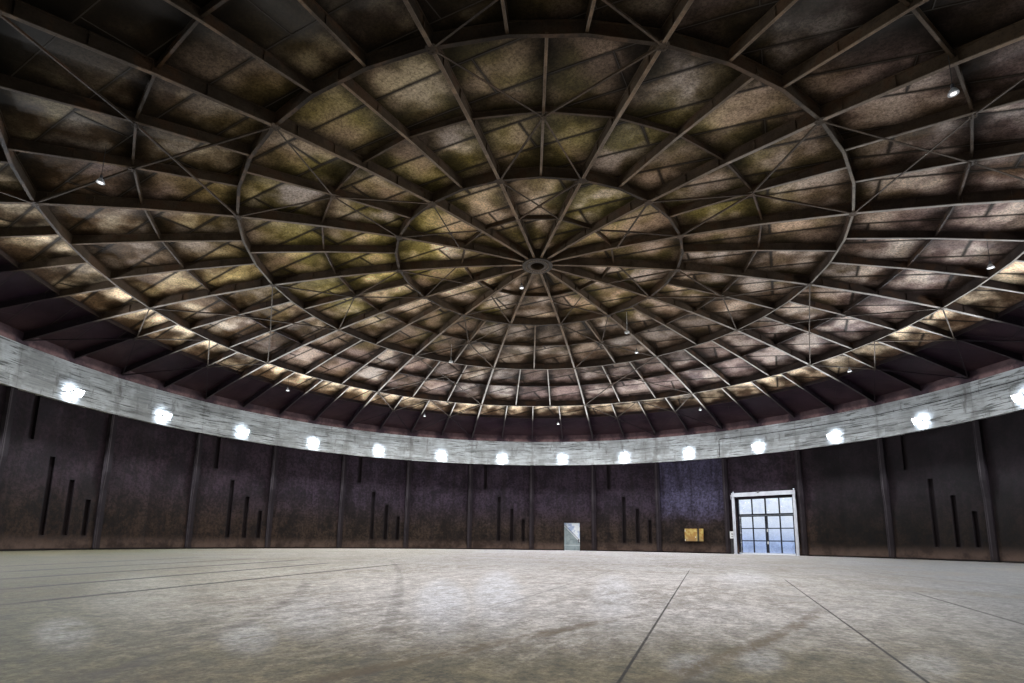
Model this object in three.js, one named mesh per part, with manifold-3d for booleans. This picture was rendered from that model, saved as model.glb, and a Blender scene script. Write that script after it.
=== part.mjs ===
// Round gas holder hall at 1:2 scale: a ring of wall bays, a concrete ring beam and a ribbed steel dome.
// Millimetres, +Z up. The origin is on the building's axis, level with the foot of the wall.
// A bearing is an angle seen from above, clockwise from +Y. The gate is at bearing 180, so it faces -Y.
import * as THREE from 'three';
import { mergeVertices } from 'three/addons/utils/BufferGeometryUtils.js';
import Module from 'manifold-3d';

const wasm = await Module();
wasm.setup();

// Driving dimensions
const GAP = 0.3; // joint between pieces that touch
const MOVING_GAP = 6; // running gap round a leaf that opens
const STEP_COUNT = 56; // facets round the building
const STEP = 360 / STEP_COUNT;
const STEPS_PER_BAY = 2;
const STEPS_PER_SECTOR = 4;
const FAR = 20000; // beyond every piece, for cutting blocks
const PAST = 1000; // how far a cutting block reaches past what it cuts
const BITE = 5; // how far a bar runs into the piece that it joins
const FIRST_RIB = 7; // step of the first main rib
const GROUPS = 7; // of two sectors each, for the frames and the roof panels
const GROUP_STEPS = 2 * STEPS_PER_SECTOR;

const FLOOR_TOP = 100;
const FLOOR_RADIUS = 10955;
const TONGUE_START = 10555; // the floor's tongues through the doorways begin inside the slab
const WALL_INNER = 11000;
const WALL_OUTER = 11250;
const WALL_TOP = 3480;
const POST_WIDTH = 150;
const POST_INNER_LOW = 10960; // inner face of a post in its lower half
const POST_INNER_HIGH = 10915; // and above its taper
const POST_TAPER = [1560, 2020];
const POST_OUTER = 11310;
const SEGMENT_JOINT = 0.5; // degrees before a post where a wall segment ends
const DOOR_BAY = 21; // step of the post before the bay
const GATE_BAY = 27;
const SEGMENTS = 8;
const SEGMENT_BAYS = 3;
const SLOT_PHASE = 3; // a bay has slots where its step leaves this after division by four
const SLOT_WIDTH = 125;
const SLOT_DEPTH = 60;
const SLOTS = [ // share of the bay's width, share of the wall's height from and to
  [0.24, 0.71, 1.01], // open at the top, under the beam
  [0.47, 0.10, 0.62],
  [0.68, 0.10, 0.48],
  [0.865, 0.10, 0.355],
];

const BEAM_INNER = 10890;
const BEAM_OUTER = 11340;
const BEAM_TOP = 4422;
const BEAM_SEAT = 10990; // the curb's seat reaches from the inner face to here
const CURB_INNER = 10905;
const CURB_OUTER = 10985;

const APEX = 6200; // underside of the ribs at the middle
const DOME_RADIUS = 35750; // sphere of the ribs' undersides
const RIB_DEPTH = 190;
const SKIN_THICKNESS = 20;
const CROWN_RADIUS = 420;
const HUB_INNER = 146;
const HUB_OUTER = 320;
const HUB_DROP = 25;
const RING_A = 2924;
const RING_B = 5632;
const RING_C = 8252;
const RIB_BENDS = [1550, 4280, 6940, 9570]; // where a rib's underside bends between the rings
const BEND_MARGIN = 50; // no bend is nearer to a rib's end
const ROOF_BEND = 10940; // last bend of the roof sheets before the eave
const EAVE = 11370;
const MAIN_RIB_WIDTH = 60;
const SIDE_RIB_WIDTH = 46;
const SIDE_RIB_LIFT = 30;
const RING_WIDTH = 46;
const RING_SINK = 4; // top of a ring purlin under the roof sheets
const RING_LIFT = 6; // underside of a ring purlin above the ribs'
const HUB_SIDES = 28;

const GATE_BEARING = 180;
const GATE_HALF_OPENING = 935;
const GATE_HEIGHT = 1910; // of the opening, above the floor
const GATE_JAMB = 35;
const GATE_FACE = 11185; // outer face of the gate, from the axis
const GATE_FRAME_DEPTH = 100;
const LEAF_DEPTH = 40;
const LEAF_BOTTOM = 22;
const LEAF_TOP = 1309;
const TRANSOM = [1315, 1365];
const STILE = 42;
const BOTTOM_RAIL = 32;
const TOP_RAIL = 36;
const GLAZING_BAR = 42; // width of an upright bar
const CROSS_BAR = 34;
const CENTRE_MULLION = 50;
const PANE_ROWS = 3;
const GLASS_DEPTH = 9;
const PORTAL_INNER = 960;
const PORTAL_OUTER = 1040;
const PORTAL_SHIFT = 15; // of its middle from the gate's
const PORTAL_BACK = 10940.4;
const PORTAL_DEPTH = 60;
const HEADER = [1955, 2090];
const HEADER_PROUD = 12; // of the posts' inner faces
const FOOT_WIDER = 30;
const FOOT_DEEPER = 40;
const FOOT_TOP = 16;
const GATE_HINGES = [150, 640, 1130]; // feet of the hinges, above the floor

const DOOR_FACET = 22.5; // steps: the facet's middle
const DOOR_SIDES = [-570, 55]; // across the facet, from its middle
const DOOR_HEIGHT = 1085;
const DOOR_JAMB = 30;
const DOOR_FACE = 11215;
const DOOR_FRAME_DEPTH = 90;
const DOOR_LEAF_DEPTH = 30;
const DOOR_LEAF_BOTTOM = 8;
const DOOR_HINGES = [130, 520, 890];

const HINGE_RADIUS = 10;
const HINGE_OFFSET = 16; // axis in front of the leaf's outer face
const KNUCKLE = 40;
const HINGE_PAD = 30; // reach of a hinge plate from the axis
const PIN_SIDES = 8;
const PAD_START = 5; // from the axis
const PAD_BACK = 2; // how far the plate goes into the leaf or the frame
const STRAP_FRONT = 4; // of the plate's front, beyond the axis
const STRAP_BACK = 9; // of the strap's back, behind the axis

const CABINET_BEARING = 167.44;
const CABINET_HALF_WIDTH = 322;
const CABINET_DEPTH = [10888, 10980.2];
const CABINET_HEIGHT = [420, 865];
const GROOVE = [172, 196]; // across the cabinet's front
const GROOVE_BACK = 10950;
const CONTROL_FACET = 27.5; // steps: the facet's middle
const CONTROL_WIDTH = [-536, -426];
const CONTROL_DEPTH = 60;
const CONTROL_HEIGHT = [530, 770];

// Materials
const material = (color, roughness, metalness) => (
  new THREE.MeshStandardMaterial({ color, roughness, metalness })
);
const paint = {
  wall: material(0x2b2324, 0.8, 0.1),
  beam: material(0xb9bcb8, 0.85, 0),
  floor: material(0xa79f96, 0.6, 0),
  steel: material(0x5a4a42, 0.6, 0.7),
  skin: material(0x6f655e, 0.7, 0.3),
  curb: material(0x4c3130, 0.75, 0.4),
  white: material(0xe6e8e8, 0.5, 0.2),
  dark: material(0x20242c, 0.5, 0.4),
  glass: material(0xcfdcec, 0.1, 0),
  silver: material(0xaeb6bc, 0.4, 0.8),
  yellow: material(0xd9962a, 0.5, 0.1),
};

const building = new THREE.Group();

// Solids
const radians = (degrees) => degrees * Math.PI / 180;
const half = radians(STEP / 2);

function solid(geometry) {
  const plain = geometry.clone();
  plain.deleteAttribute('normal');
  plain.deleteAttribute('uv');
  const merged = mergeVertices(plain, 0.001);
  return new wasm.Manifold(new wasm.Mesh({
    numProp: 3,
    vertProperties: new Float32Array(merged.attributes.position.array),
    triVerts: new Uint32Array(merged.index.array),
  }));
}

function add(name, body, look) {
  const found = body.getMesh();
  const geometry = new THREE.BufferGeometry();
  geometry.setAttribute('position', new THREE.BufferAttribute(new Float32Array(found.vertProperties), 3));
  geometry.setIndex(new THREE.BufferAttribute(new Uint32Array(found.triVerts), 1));
  geometry.computeVertexNormals();
  const mesh = new THREE.Mesh(geometry, look);
  mesh.name = name;
  building.add(mesh);
}

// Local axes at a bearing: x along the wall towards greater bearings, y away from the axis, z up
const at = (bearing, body) => body.rotate([0, 0, -bearing]);

function box(x, y, z) {
  const geometry = new THREE.BoxGeometry(x[1] - x[0], y[1] - y[0], z[1] - z[0]);
  geometry.translate((x[0] + x[1]) / 2, (y[0] + y[1]) / 2, (z[0] + z[1]) / 2);
  return solid(geometry);
}

const outline = (points) => new THREE.Shape(points.map(([x, y]) => new THREE.Vector2(x, y)));

// A plan outline raised from one height to another
function slab(points, z) {
  const geometry = new THREE.ExtrudeGeometry(outline(points), { depth: z[1] - z[0], bevelEnabled: false });
  geometry.translate(0, 0, z[0]);
  return solid(geometry);
}

// An outline of (y, z) points carried from one x to another
function bar(points, x) {
  const geometry = new THREE.ExtrudeGeometry(outline(points), { depth: x[1] - x[0], bevelEnabled: false });
  geometry.applyMatrix4(new THREE.Matrix4().makeBasis(
    new THREE.Vector3(0, 1, 0), new THREE.Vector3(0, 0, 1), new THREE.Vector3(1, 0, 0),
  ));
  geometry.translate(x[0], 0, 0);
  return solid(geometry);
}

// An outline of (radius, z) points turned round the axis
function turned(points, sides) {
  const closed = [...points, points[0]].map(([r, z]) => new THREE.Vector2(r, z));
  const geometry = new THREE.LatheGeometry(closed, sides);
  geometry.rotateX(Math.PI / 2);
  const body = solid(geometry);
  return body.volume() < 0 ? solid(flipped(geometry)) : body;
}

function flipped(geometry) {
  const turnedOver = geometry.clone();
  const index = turnedOver.index.array;
  for (let i = 0; i < index.length; i += 3) {
    [index[i], index[i + 1]] = [index[i + 1], index[i]];
  }
  return turnedOver;
}

const join = (bodies) => bodies.reduce((all, body) => all.add(body));

// Plan points of a faceted ring. A corner lies on every whole step.
function facetRadius(radius, bearing) {
  const middle = (Math.floor(bearing / STEP) + 0.5) * STEP;
  return radius * Math.cos(half) / Math.cos(radians(bearing - middle));
}

const planPoint = (radius, bearing) => [
  radius * Math.sin(radians(bearing)), radius * Math.cos(radians(bearing)),
];

function ringPoints(radius, from, to) {
  const points = [planPoint(facetRadius(radius, from), from)];
  for (let step = Math.floor(from / STEP) + 1; step * STEP < to; step += 1) {
    points.push(planPoint(radius, step * STEP));
  }
  points.push(planPoint(facetRadius(radius, to), to));
  return points;
}

// Dome surfaces
const domeCentre = APEX - DOME_RADIUS;
const ribFoot = (r) => domeCentre + Math.sqrt(DOME_RADIUS ** 2 - r ** 2);
const skinSphere = (r) => domeCentre + Math.sqrt((DOME_RADIUS + RIB_DEPTH) ** 2 - r ** 2);
const skinStations = [0, CROWN_RADIUS, RING_A, RING_B, RING_C, ROOF_BEND, EAVE];

// Height of the faceted underside of the roof sheets along a corner line
function skinUnder(r) {
  const next = Math.max(1, skinStations.findIndex((station) => station >= r));
  const [inner, outer] = [skinStations[next - 1], skinStations[next]];
  const share = (r - inner) / (outer - inner);
  return skinSphere(inner) * (1 - share) + skinSphere(outer) * share;
}

// The same at any plan point, given in local axes at a bearing
function skinUnderAt(bearing, x, y) {
  const found = bearing + Math.atan2(x, y) * 180 / Math.PI;
  const middle = (Math.floor(found / STEP + 1e-9) + 0.5) * STEP;
  const corner = Math.hypot(x, y) * Math.cos(radians(found - middle)) / Math.cos(half);
  return skinUnder(corner);
}

// A rib in local axes at its bearing, between two distances from the axis
function rib(bearing, from, to, width, lift) {
  const between = (stations) => [
    from, ...stations.filter((r) => r > from + BEND_MARGIN && r < to - BEND_MARGIN), to,
  ];
  const top = (y) => Math.min(
    skinUnderAt(bearing, width / 2, y), skinUnderAt(bearing, -width / 2, y),
  ) - GAP;
  const bends = [...skinStations, ...RIB_BENDS].sort((a, b) => a - b);
  const low = between(bends).map((y) => [y, ribFoot(y) + lift]);
  const high = between(skinStations).map((y) => [y, top(y)]).reverse();
  return at(bearing, bar([...low, ...high], [-width / 2, width / 2]));
}

// A straight length of ring purlin between two bearings. Its ends lie on the given radius.
function purlin(radius, from, to) {
  const swing = radians((to - from) / 2);
  const y = radius * Math.cos(swing);
  const reach = radius * Math.sin(swing);
  const middle = (from + to) / 2;
  const edges = [y - RING_WIDTH / 2, y + RING_WIDTH / 2];
  const low = ribFoot(radius) + RING_LIFT;
  const tops = edges.map((edge) => Math.min(
    skinUnderAt(middle, reach, edge), skinUnderAt(middle, -reach, edge),
  ) - RING_SINK);
  return at(middle, bar(
    [[edges[0], low], [edges[1], low], [edges[1], tops[1]], [edges[0], tops[0]]],
    [-reach, reach],
  ));
}

// Floor: one slab inside the wall with a tongue through each doorway
function floorSlab() {
  const corners = Array.from({ length: STEP_COUNT }, (_, step) => planPoint(FLOOR_RADIUS, step * STEP));
  const disc = slab(corners, [0, FLOOR_TOP]);
  const gate = at(GATE_BEARING, box(
    [GAP - GATE_HALF_OPENING, GATE_HALF_OPENING - GAP], [TONGUE_START, GATE_FACE], [0, FLOOR_TOP],
  ));
  const door = at(DOOR_FACET * STEP, box(
    [DOOR_SIDES[0] + GAP, DOOR_SIDES[1] - GAP], [TONGUE_START, DOOR_FACE], [0, FLOOR_TOP],
  ));
  add('floor_slab', disc.add(gate).add(door), paint.floor);
}

// Walls
const postSteps = (from, count) => Array.from({ length: count }, (_, bay) => from + bay * STEPS_PER_BAY);

function post(step) {
  return at(step * STEP, bar([
    [POST_OUTER, 0], [POST_OUTER, WALL_TOP], [POST_INNER_HIGH, WALL_TOP], [POST_INNER_HIGH, POST_TAPER[1]],
    [POST_INNER_LOW, POST_TAPER[0]], [POST_INNER_LOW, 0],
  ], [-POST_WIDTH / 2, POST_WIDTH / 2]));
}

const hasSlots = (step) => step % STEPS_PER_SECTOR === SLOT_PHASE;

function slots(step) {
  return SLOTS.map(([across, low, high]) => {
    const bearing = (step + across * STEPS_PER_BAY) * STEP;
    const face = facetRadius(WALL_INNER, bearing);
    const rise = WALL_TOP - FLOOR_TOP;
    return at(bearing, box(
      [-SLOT_WIDTH / 2, SLOT_WIDTH / 2], [face - SLOT_DEPTH, face + SLOT_DEPTH],
      [FLOOR_TOP + low * rise, FLOOR_TOP + high * rise],
    ));
  });
}

// Some bays of wall with the post at the start of each. The first post's step is given.
function wallBays(step, count, slotted) {
  const from = step * STEP - SEGMENT_JOINT;
  const to = (step + count * STEPS_PER_BAY) * STEP - SEGMENT_JOINT - GAP / WALL_INNER * 180 / Math.PI;
  const plan = [...ringPoints(WALL_OUTER, from, to), ...ringPoints(WALL_INNER, from, to).reverse()];
  const posts = postSteps(step, count).map(post);
  const body = join([slab(plan, [0, WALL_TOP]), ...posts]);
  const cuts = slotted ? postSteps(step, count).filter(hasSlots).flatMap(slots) : [];
  return cuts.length ? body.subtract(join(cuts)) : body;
}

// A bay with a doorway is three pieces: before the opening, after it and over it
function splitBay(name, step, bearing, sides, height) {
  const bay = wallBays(step, 1, false);
  const top = FLOOR_TOP + height;
  const everyHeight = [-PAST, WALL_TOP + PAST];
  const across = [WALL_INNER - PAST, WALL_OUTER + PAST];
  const before = at(bearing, box([-FAR, sides[0]], across, everyHeight));
  const after = at(bearing, box([sides[1], FAR], across, everyHeight));
  const over = at(bearing, box([sides[0] + GAP, sides[1] - GAP], across, [top, WALL_TOP + PAST]));
  add(`${name}_wall_left`, bay.intersect(before), paint.wall);
  add(`${name}_wall_right`, bay.intersect(after), paint.wall);
  add(`${name}_wall_over`, bay.intersect(over), paint.wall);
}

function walls() {
  const afterDoor = DOOR_BAY + STEPS_PER_BAY;
  const afterGate = GATE_BAY + STEPS_PER_BAY;
  splitBay('door', DOOR_BAY, DOOR_FACET * STEP, DOOR_SIDES, DOOR_HEIGHT);
  const between = (GATE_BAY - afterDoor) / STEPS_PER_BAY;
  add('wall_segment_door_to_gate', wallBays(afterDoor, between, true), paint.wall);
  splitBay('gate', GATE_BAY, GATE_BEARING, [-GATE_HALF_OPENING, GATE_HALF_OPENING], GATE_HEIGHT);
  for (let segment = 0; segment < SEGMENTS; segment += 1) {
    const step = afterGate + segment * SEGMENT_BAYS * STEPS_PER_BAY;
    add(`wall_segment_${segment + 1}`, wallBays(step, SEGMENT_BAYS, true), paint.wall);
  }
}

// Ring beam with its curb
function beamAndCurb() {
  const beam = turned([
    [BEAM_INNER, WALL_TOP + GAP], [BEAM_OUTER, WALL_TOP + GAP], [BEAM_OUTER, skinUnder(BEAM_OUTER) - GAP],
    [BEAM_SEAT, skinUnder(BEAM_SEAT) - GAP], [BEAM_SEAT, BEAM_TOP], [BEAM_INNER, BEAM_TOP],
  ], STEP_COUNT);
  add('ring_beam', beam, paint.beam);
  const curb = turned([
    [CURB_INNER, BEAM_TOP + GAP], [CURB_OUTER, BEAM_TOP + GAP], [CURB_OUTER, skinUnder(CURB_OUTER) - GAP],
    [CURB_INNER, skinUnder(CURB_INNER) - GAP],
  ], STEP_COUNT);
  add('curb_ring', curb, paint.curb);
}

// Dome framework
const ribEnd = CURB_INNER - MAIN_RIB_WIDTH / 2 * Math.tan(half) - GAP;
const hubFace = HUB_OUTER + GAP;

function sectorFrame(start) {
  const bearing = (steps) => (start + steps) * STEP;
  const side = (steps, from, to) => rib(bearing(steps), from, to, SIDE_RIB_WIDTH, SIDE_RIB_LIFT);
  const ring = (radius, parts) => Array.from({ length: parts }, (_, part) => purlin(
    radius, bearing(part * STEPS_PER_SECTOR / parts), bearing((part + 1) * STEPS_PER_SECTOR / parts),
  ));
  const third = STEPS_PER_SECTOR / 3;
  return [
    rib(bearing(0), hubFace, ribEnd, MAIN_RIB_WIDTH, 0),
    side(2, RING_A, RING_B),
    side(third, RING_B, RING_C),
    side(2 * third, RING_B, RING_C),
    side(1, RING_C, ribEnd),
    side(2, RING_C, ribEnd),
    side(3, RING_C, ribEnd),
    ...ring(RING_A, 2),
    ...ring(RING_B, 3),
    ...ring(RING_C, 4),
  ];
}

function domeFrames() {
  for (let group = 0; group < GROUPS; group += 1) {
    const start = FIRST_RIB + group * GROUP_STEPS;
    const bars = [...sectorFrame(start), ...sectorFrame(start + STEPS_PER_SECTOR)];
    const nextRib = at((start + GROUP_STEPS) * STEP, box(
      [-MAIN_RIB_WIDTH / 2 - GAP, PAST], [HUB_OUTER, WALL_OUTER], [BEAM_TOP, APEX + PAST],
    ));
    add(`dome_frame_${group + 1}`, join(bars).subtract(nextRib), paint.steel);
  }
}

function hub() {
  const corner = HUB_OUTER / Math.cos(Math.PI / HUB_SIDES);
  const low = APEX - HUB_DROP;
  const top = (r) => skinUnder(r) - 2 * GAP;
  add('hub_ring', turned([
    [HUB_INNER, low], [corner, low], [corner, top(corner)], [HUB_INNER, top(HUB_INNER)],
  ], HUB_SIDES), paint.steel);
}

// Roof sheets: seven panels of two sectors, closed by a crown plate
function roof() {
  const stations = skinStations.slice(1);
  const under = stations.map((r) => [r, skinUnder(r)]);
  const over = under.map(([r, z]) => [r, z + SKIN_THICKNESS]).reverse();
  const cap = turned([...under, ...over], STEP_COUNT);
  for (let panel = 0; panel < GROUPS; panel += 1) {
    const from = (FIRST_RIB + panel * GROUP_STEPS) * STEP;
    const to = from + GROUP_STEPS * STEP;
    const [a, b] = [from, to].map((bearing) => planPoint(FAR, bearing));
    const wedge = slab([[0, 0], b, a], [0, APEX + PAST]);
    const trim = at(to, box([-GAP, PAST], [0, FAR], [0, APEX + PAST]));
    add(`roof_panel_${panel + 1}`, cap.intersect(wedge).subtract(trim), paint.skin);
  }
  const edge = CROWN_RADIUS - GAP;
  add('crown_plate', turned([
    [0, skinUnder(0)], [edge, skinUnder(edge)], [edge, skinUnder(edge) + SKIN_THICKNESS],
    [0, skinUnder(0) + SKIN_THICKNESS],
  ], STEP_COUNT), paint.skin);
}

// A lift-off hinge: the frame's knuckle below, the leaf's knuckle resting on it.
// hinge: x and y of the axis, foot height, and the side of the leaf's edge that the frame is on (-1 or 1).
function knuckle(hinge, z, towards) {
  const pin = new THREE.CylinderGeometry(HINGE_RADIUS, HINGE_RADIUS, z[1] - z[0], PIN_SIDES);
  pin.rotateX(Math.PI / 2);
  pin.translate(hinge.x, hinge.y, (z[0] + z[1]) / 2);
  const face = hinge.y - HINGE_OFFSET;
  const near = hinge.x + towards * PAD_START;
  const far = hinge.x + towards * HINGE_PAD;
  const front = hinge.y + STRAP_FRONT;
  const pad = box([Math.min(near, far), Math.max(near, far)], [face - PAD_BACK, front], z);
  const strap = box([Math.min(hinge.x, far), Math.max(hinge.x, far)], [hinge.y - STRAP_BACK, front], z);
  return solid(pin).add(pad).add(strap);
}

function framePart(hinge, foot) {
  return knuckle(hinge, [foot, foot + KNUCKLE], hinge.side);
}

function leafPart(hinge, foot) {
  return knuckle(hinge, [foot + KNUCKLE + GAP, foot + 2 * KNUCKLE], -hinge.side);
}

// Gate
const leafEdge = GATE_HALF_OPENING - GATE_JAMB - MOVING_GAP;
const aboveFloor = (z) => z + FLOOR_TOP;
const gateHinge = (side) => ({ x: side * (leafEdge + MOVING_GAP / 2), y: GATE_FACE + HINGE_OFFSET, side });
const gateDepth = [GATE_FACE - GATE_FRAME_DEPTH, GATE_FACE];
const leafDepth = [GATE_FACE - LEAF_DEPTH, GATE_FACE];
const barBack = GATE_FACE - LEAF_DEPTH / 2; // glazing bars fill the inner half of the depth
const barCentre = (MOVING_GAP / 2 + leafEdge) / 2;

function gateFrame() {
  const outer = GATE_HALF_OPENING - GAP;
  const inner = GATE_HALF_OPENING - GATE_JAMB;
  const head = GATE_HEIGHT - GATE_JAMB;
  const jambs = [-1, 1].map((side) => box(
    side < 0 ? [-outer, -inner] : [inner, outer], gateDepth, [aboveFloor(GAP), aboveFloor(GATE_HEIGHT - GAP)],
  ));
  const levels = [[head, GATE_HEIGHT - GAP], TRANSOM];
  const crossings = levels.map((z) => box([-outer, outer], gateDepth, z.map(aboveFloor)));
  const uprights = [[-barCentre, GLAZING_BAR], [0, CENTRE_MULLION], [barCentre, GLAZING_BAR]];
  const mullions = uprights.map(([x, width]) => box(
    [x - width / 2, x + width / 2], [leafDepth[0], barBack], [TRANSOM[0], head + BITE].map(aboveFloor),
  ));
  const hinges = [-1, 1].flatMap((side) => GATE_HINGES.map((z) => framePart(gateHinge(side), aboveFloor(z))));
  add('gate_frame', at(GATE_BEARING, join([...jambs, ...crossings, ...mullions, ...hinges])), paint.dark);
  add('gate_transom_glass', at(GATE_BEARING, box(
    [GAP - inner, inner - GAP], [barBack + GAP, barBack + GAP + GLASS_DEPTH],
    [aboveFloor(TRANSOM[1] + GAP), aboveFloor(head - GAP)],
  )), paint.glass);
}

function gateLeaf(side, name) {
  const span = (from, to) => (side < 0 ? [-to, -from] : [from, to]);
  const meeting = MOVING_GAP / 2;
  const inner = [meeting + STILE, leafEdge - STILE];
  const [low, high] = [LEAF_BOTTOM + BOTTOM_RAIL, LEAF_TOP - TOP_RAIL];
  const through = [leafDepth[0] - PAST, GATE_FACE + PAST];
  const opening = box(span(inner[0], inner[1]), through, [aboveFloor(low), aboveFloor(high)]);
  const slabLeaf = box(span(meeting, leafEdge), leafDepth, [aboveFloor(LEAF_BOTTOM), aboveFloor(LEAF_TOP)]);
  const upright = box(
    span(barCentre - GLAZING_BAR / 2, barCentre + GLAZING_BAR / 2), [leafDepth[0], barBack],
    [aboveFloor(low - BITE), aboveFloor(high + BITE)],
  );
  const row = (high - low + CROSS_BAR) / PANE_ROWS;
  const crossings = [1, 2].map((index) => {
    const z = low + index * row - CROSS_BAR;
    return box(
      span(inner[0] - BITE, inner[1] + BITE), [leafDepth[0], barBack], [z, z + CROSS_BAR].map(aboveFloor),
    );
  });
  const hinges = GATE_HINGES.map((z) => leafPart(gateHinge(side), aboveFloor(z)));
  const frame = slabLeaf.subtract(opening);
  add(`gate_leaf_${name}`, at(GATE_BEARING, join([frame, upright, ...crossings, ...hinges])), paint.dark);
  add(`gate_glass_${name}`, at(GATE_BEARING, box(
    span(inner[0] + GAP, inner[1] - GAP), [barBack + GAP, barBack + GAP + GLASS_DEPTH],
    [aboveFloor(low + GAP), aboveFloor(high - GAP)],
  )), paint.glass);
}

// White portal in front of the gate, inside the hall
function portal() {
  const depth = [PORTAL_BACK - PORTAL_DEPTH, PORTAL_BACK];
  const posts = [[-PORTAL_OUTER, -PORTAL_INNER], [PORTAL_INNER, PORTAL_OUTER]].map((x) => box(
    x, depth, [aboveFloor(GAP), aboveFloor(HEADER[0] + BITE)],
  ));
  const header = box(
    [-PORTAL_OUTER, PORTAL_OUTER], [depth[0] - HEADER_PROUD, PORTAL_BACK], HEADER.map(aboveFloor),
  );
  const inside = PORTAL_INNER - FOOT_WIDER;
  const feet = [[-PORTAL_OUTER, -inside], [inside, PORTAL_OUTER]].map((x) => box(
    x, [depth[0] - FOOT_DEEPER, PORTAL_BACK], [aboveFloor(GAP), aboveFloor(FOOT_TOP)],
  ));
  const body = join([...posts, header, ...feet]).translate([PORTAL_SHIFT, 0, 0]);
  add('gate_portal', at(GATE_BEARING, body), paint.white);
}

// Door in the wall
function door() {
  const bearing = DOOR_FACET * STEP;
  const [left, right] = DOOR_SIDES;
  const depth = [DOOR_FACE - DOOR_FRAME_DEPTH, DOOR_FACE];
  const top = DOOR_HEIGHT - GAP;
  const frame = join([
    box([left + GAP, left + DOOR_JAMB], depth, [GAP, top].map(aboveFloor)),
    box([right - DOOR_JAMB, right - GAP], depth, [GAP, top].map(aboveFloor)),
    box([left + GAP, right - GAP], depth, [DOOR_HEIGHT - DOOR_JAMB, top].map(aboveFloor)),
  ]);
  const edge = left + DOOR_JAMB + MOVING_GAP;
  const hinge = { x: edge - MOVING_GAP / 2, y: DOOR_FACE + HINGE_OFFSET, side: -1 };
  const feet = DOOR_HINGES.map(aboveFloor);
  const leaf = box(
    [edge, right - DOOR_JAMB - MOVING_GAP], [DOOR_FACE - DOOR_LEAF_DEPTH, DOOR_FACE],
    [aboveFloor(DOOR_LEAF_BOTTOM), aboveFloor(DOOR_HEIGHT - DOOR_JAMB - MOVING_GAP)],
  );
  add('door_frame', at(bearing, join([frame, ...feet.map((z) => framePart(hinge, z))])), paint.dark);
  add('door_leaf', at(bearing, join([leaf, ...feet.map((z) => leafPart(hinge, z))])), paint.silver);
}

// Cabinets on the wall
function cabinets() {
  const body = box([-CABINET_HALF_WIDTH, CABINET_HALF_WIDTH], CABINET_DEPTH, CABINET_HEIGHT.map(aboveFloor));
  const groove = box(GROOVE, [CABINET_DEPTH[0] - PAST, GROOVE_BACK], [0, WALL_TOP]);
  add('wall_cabinet', at(CABINET_BEARING, body.subtract(groove)), paint.yellow);
  const back = WALL_INNER * Math.cos(half) - GAP;
  add('control_box', at(CONTROL_FACET * STEP, box(
    CONTROL_WIDTH, [back - CONTROL_DEPTH, back], CONTROL_HEIGHT.map(aboveFloor),
  )), paint.white);
}

floorSlab();
walls();
beamAndCurb();
domeFrames();
hub();
roof();
gateFrame();
gateLeaf(-1, 'left');
gateLeaf(1, 'right');
portal();
door();
cabinets();

export default building;
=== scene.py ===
from math import atan2, cos, floor, hypot, pi, radians, sin, sqrt

import bpy
from mathutils import Matrix, Vector


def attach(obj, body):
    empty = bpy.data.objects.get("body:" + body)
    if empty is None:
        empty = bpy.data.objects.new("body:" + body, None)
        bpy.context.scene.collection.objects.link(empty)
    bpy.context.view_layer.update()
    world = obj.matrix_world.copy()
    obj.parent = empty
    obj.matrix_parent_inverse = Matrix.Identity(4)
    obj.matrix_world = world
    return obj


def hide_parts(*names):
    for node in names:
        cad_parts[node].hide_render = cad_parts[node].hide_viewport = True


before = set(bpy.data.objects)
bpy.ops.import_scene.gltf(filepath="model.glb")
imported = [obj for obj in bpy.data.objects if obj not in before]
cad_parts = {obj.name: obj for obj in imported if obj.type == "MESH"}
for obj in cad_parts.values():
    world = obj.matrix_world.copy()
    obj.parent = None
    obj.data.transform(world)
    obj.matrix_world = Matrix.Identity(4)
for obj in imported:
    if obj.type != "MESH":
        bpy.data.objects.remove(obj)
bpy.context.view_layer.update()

scene = bpy.context.scene
UP = Vector((0, 0, 1))

# The hall's plan and the dome's surfaces, in metres
STEP = radians(360 / 56)
FLOOR_TOP = 0.1
WALL_INNER = 11.0
WALL_TOP = 3.48
BEAM_INNER = 10.89
BEAM_LOW = 3.4803
DOME_RADIUS = 35.75
RIB_DEPTH = 0.19
APEX = 6.2
RING_A, RING_B, RING_C = 2.924, 5.632, 8.252
RINGS = (RING_A, RING_B, RING_C)
LIGHT_A, LIGHT_B, LIGHT_C, LIGHT_D = 1.6, 4.3, 6.96, 9.33
LIGHT_RINGS = (
    (LIGHT_A, (0, 4)), (LIGHT_B, (0, 2, 4)), (LIGHT_C, (0, 4 / 3, 8 / 3, 4)), (LIGHT_D, (0, 1, 2, 3, 4)))
STATIONS = (0.0, 0.42, RING_A, RING_B, RING_C, 10.94, 11.37)
BENDS = (1.55, 4.28, 6.94, 9.57)
FIRST_RIB = 3
MAIN_RIBS = tuple(range(FIRST_RIB, FIRST_RIB + 56, 4))
BRACED = MAIN_RIBS[1::2]
CROWN_TOP = 6.4098
RIB_END = 10.9015
HUB_FACE = 0.3203

# Roof sheets: direction of their rows, width and length of a sheet, and where a row and a sheet start
SHEET_TURN = radians(20)
SHEET_WIDE = 0.622
SHEET_LONG = 3.03
ROW_START = 1.28
SHEET_START = 0.13


def plan(r, step):
    return local(step, 0, r, 0)


def point(r, step, z):
    return plan(r, step) + UP * z


def local(step, x, y, z):
    """A point given along the wall, away from the axis and up, at a bearing."""
    a = step * STEP
    return Vector((x * cos(a) + y * sin(a), -x * sin(a) + y * cos(a), z))


def rib_foot(r, outward=0):
    """Height of the sphere of the ribs' underside, or of one that lies further out."""
    return APEX - DOME_RADIUS + sqrt((DOME_RADIUS + outward) ** 2 - r * r)


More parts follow.
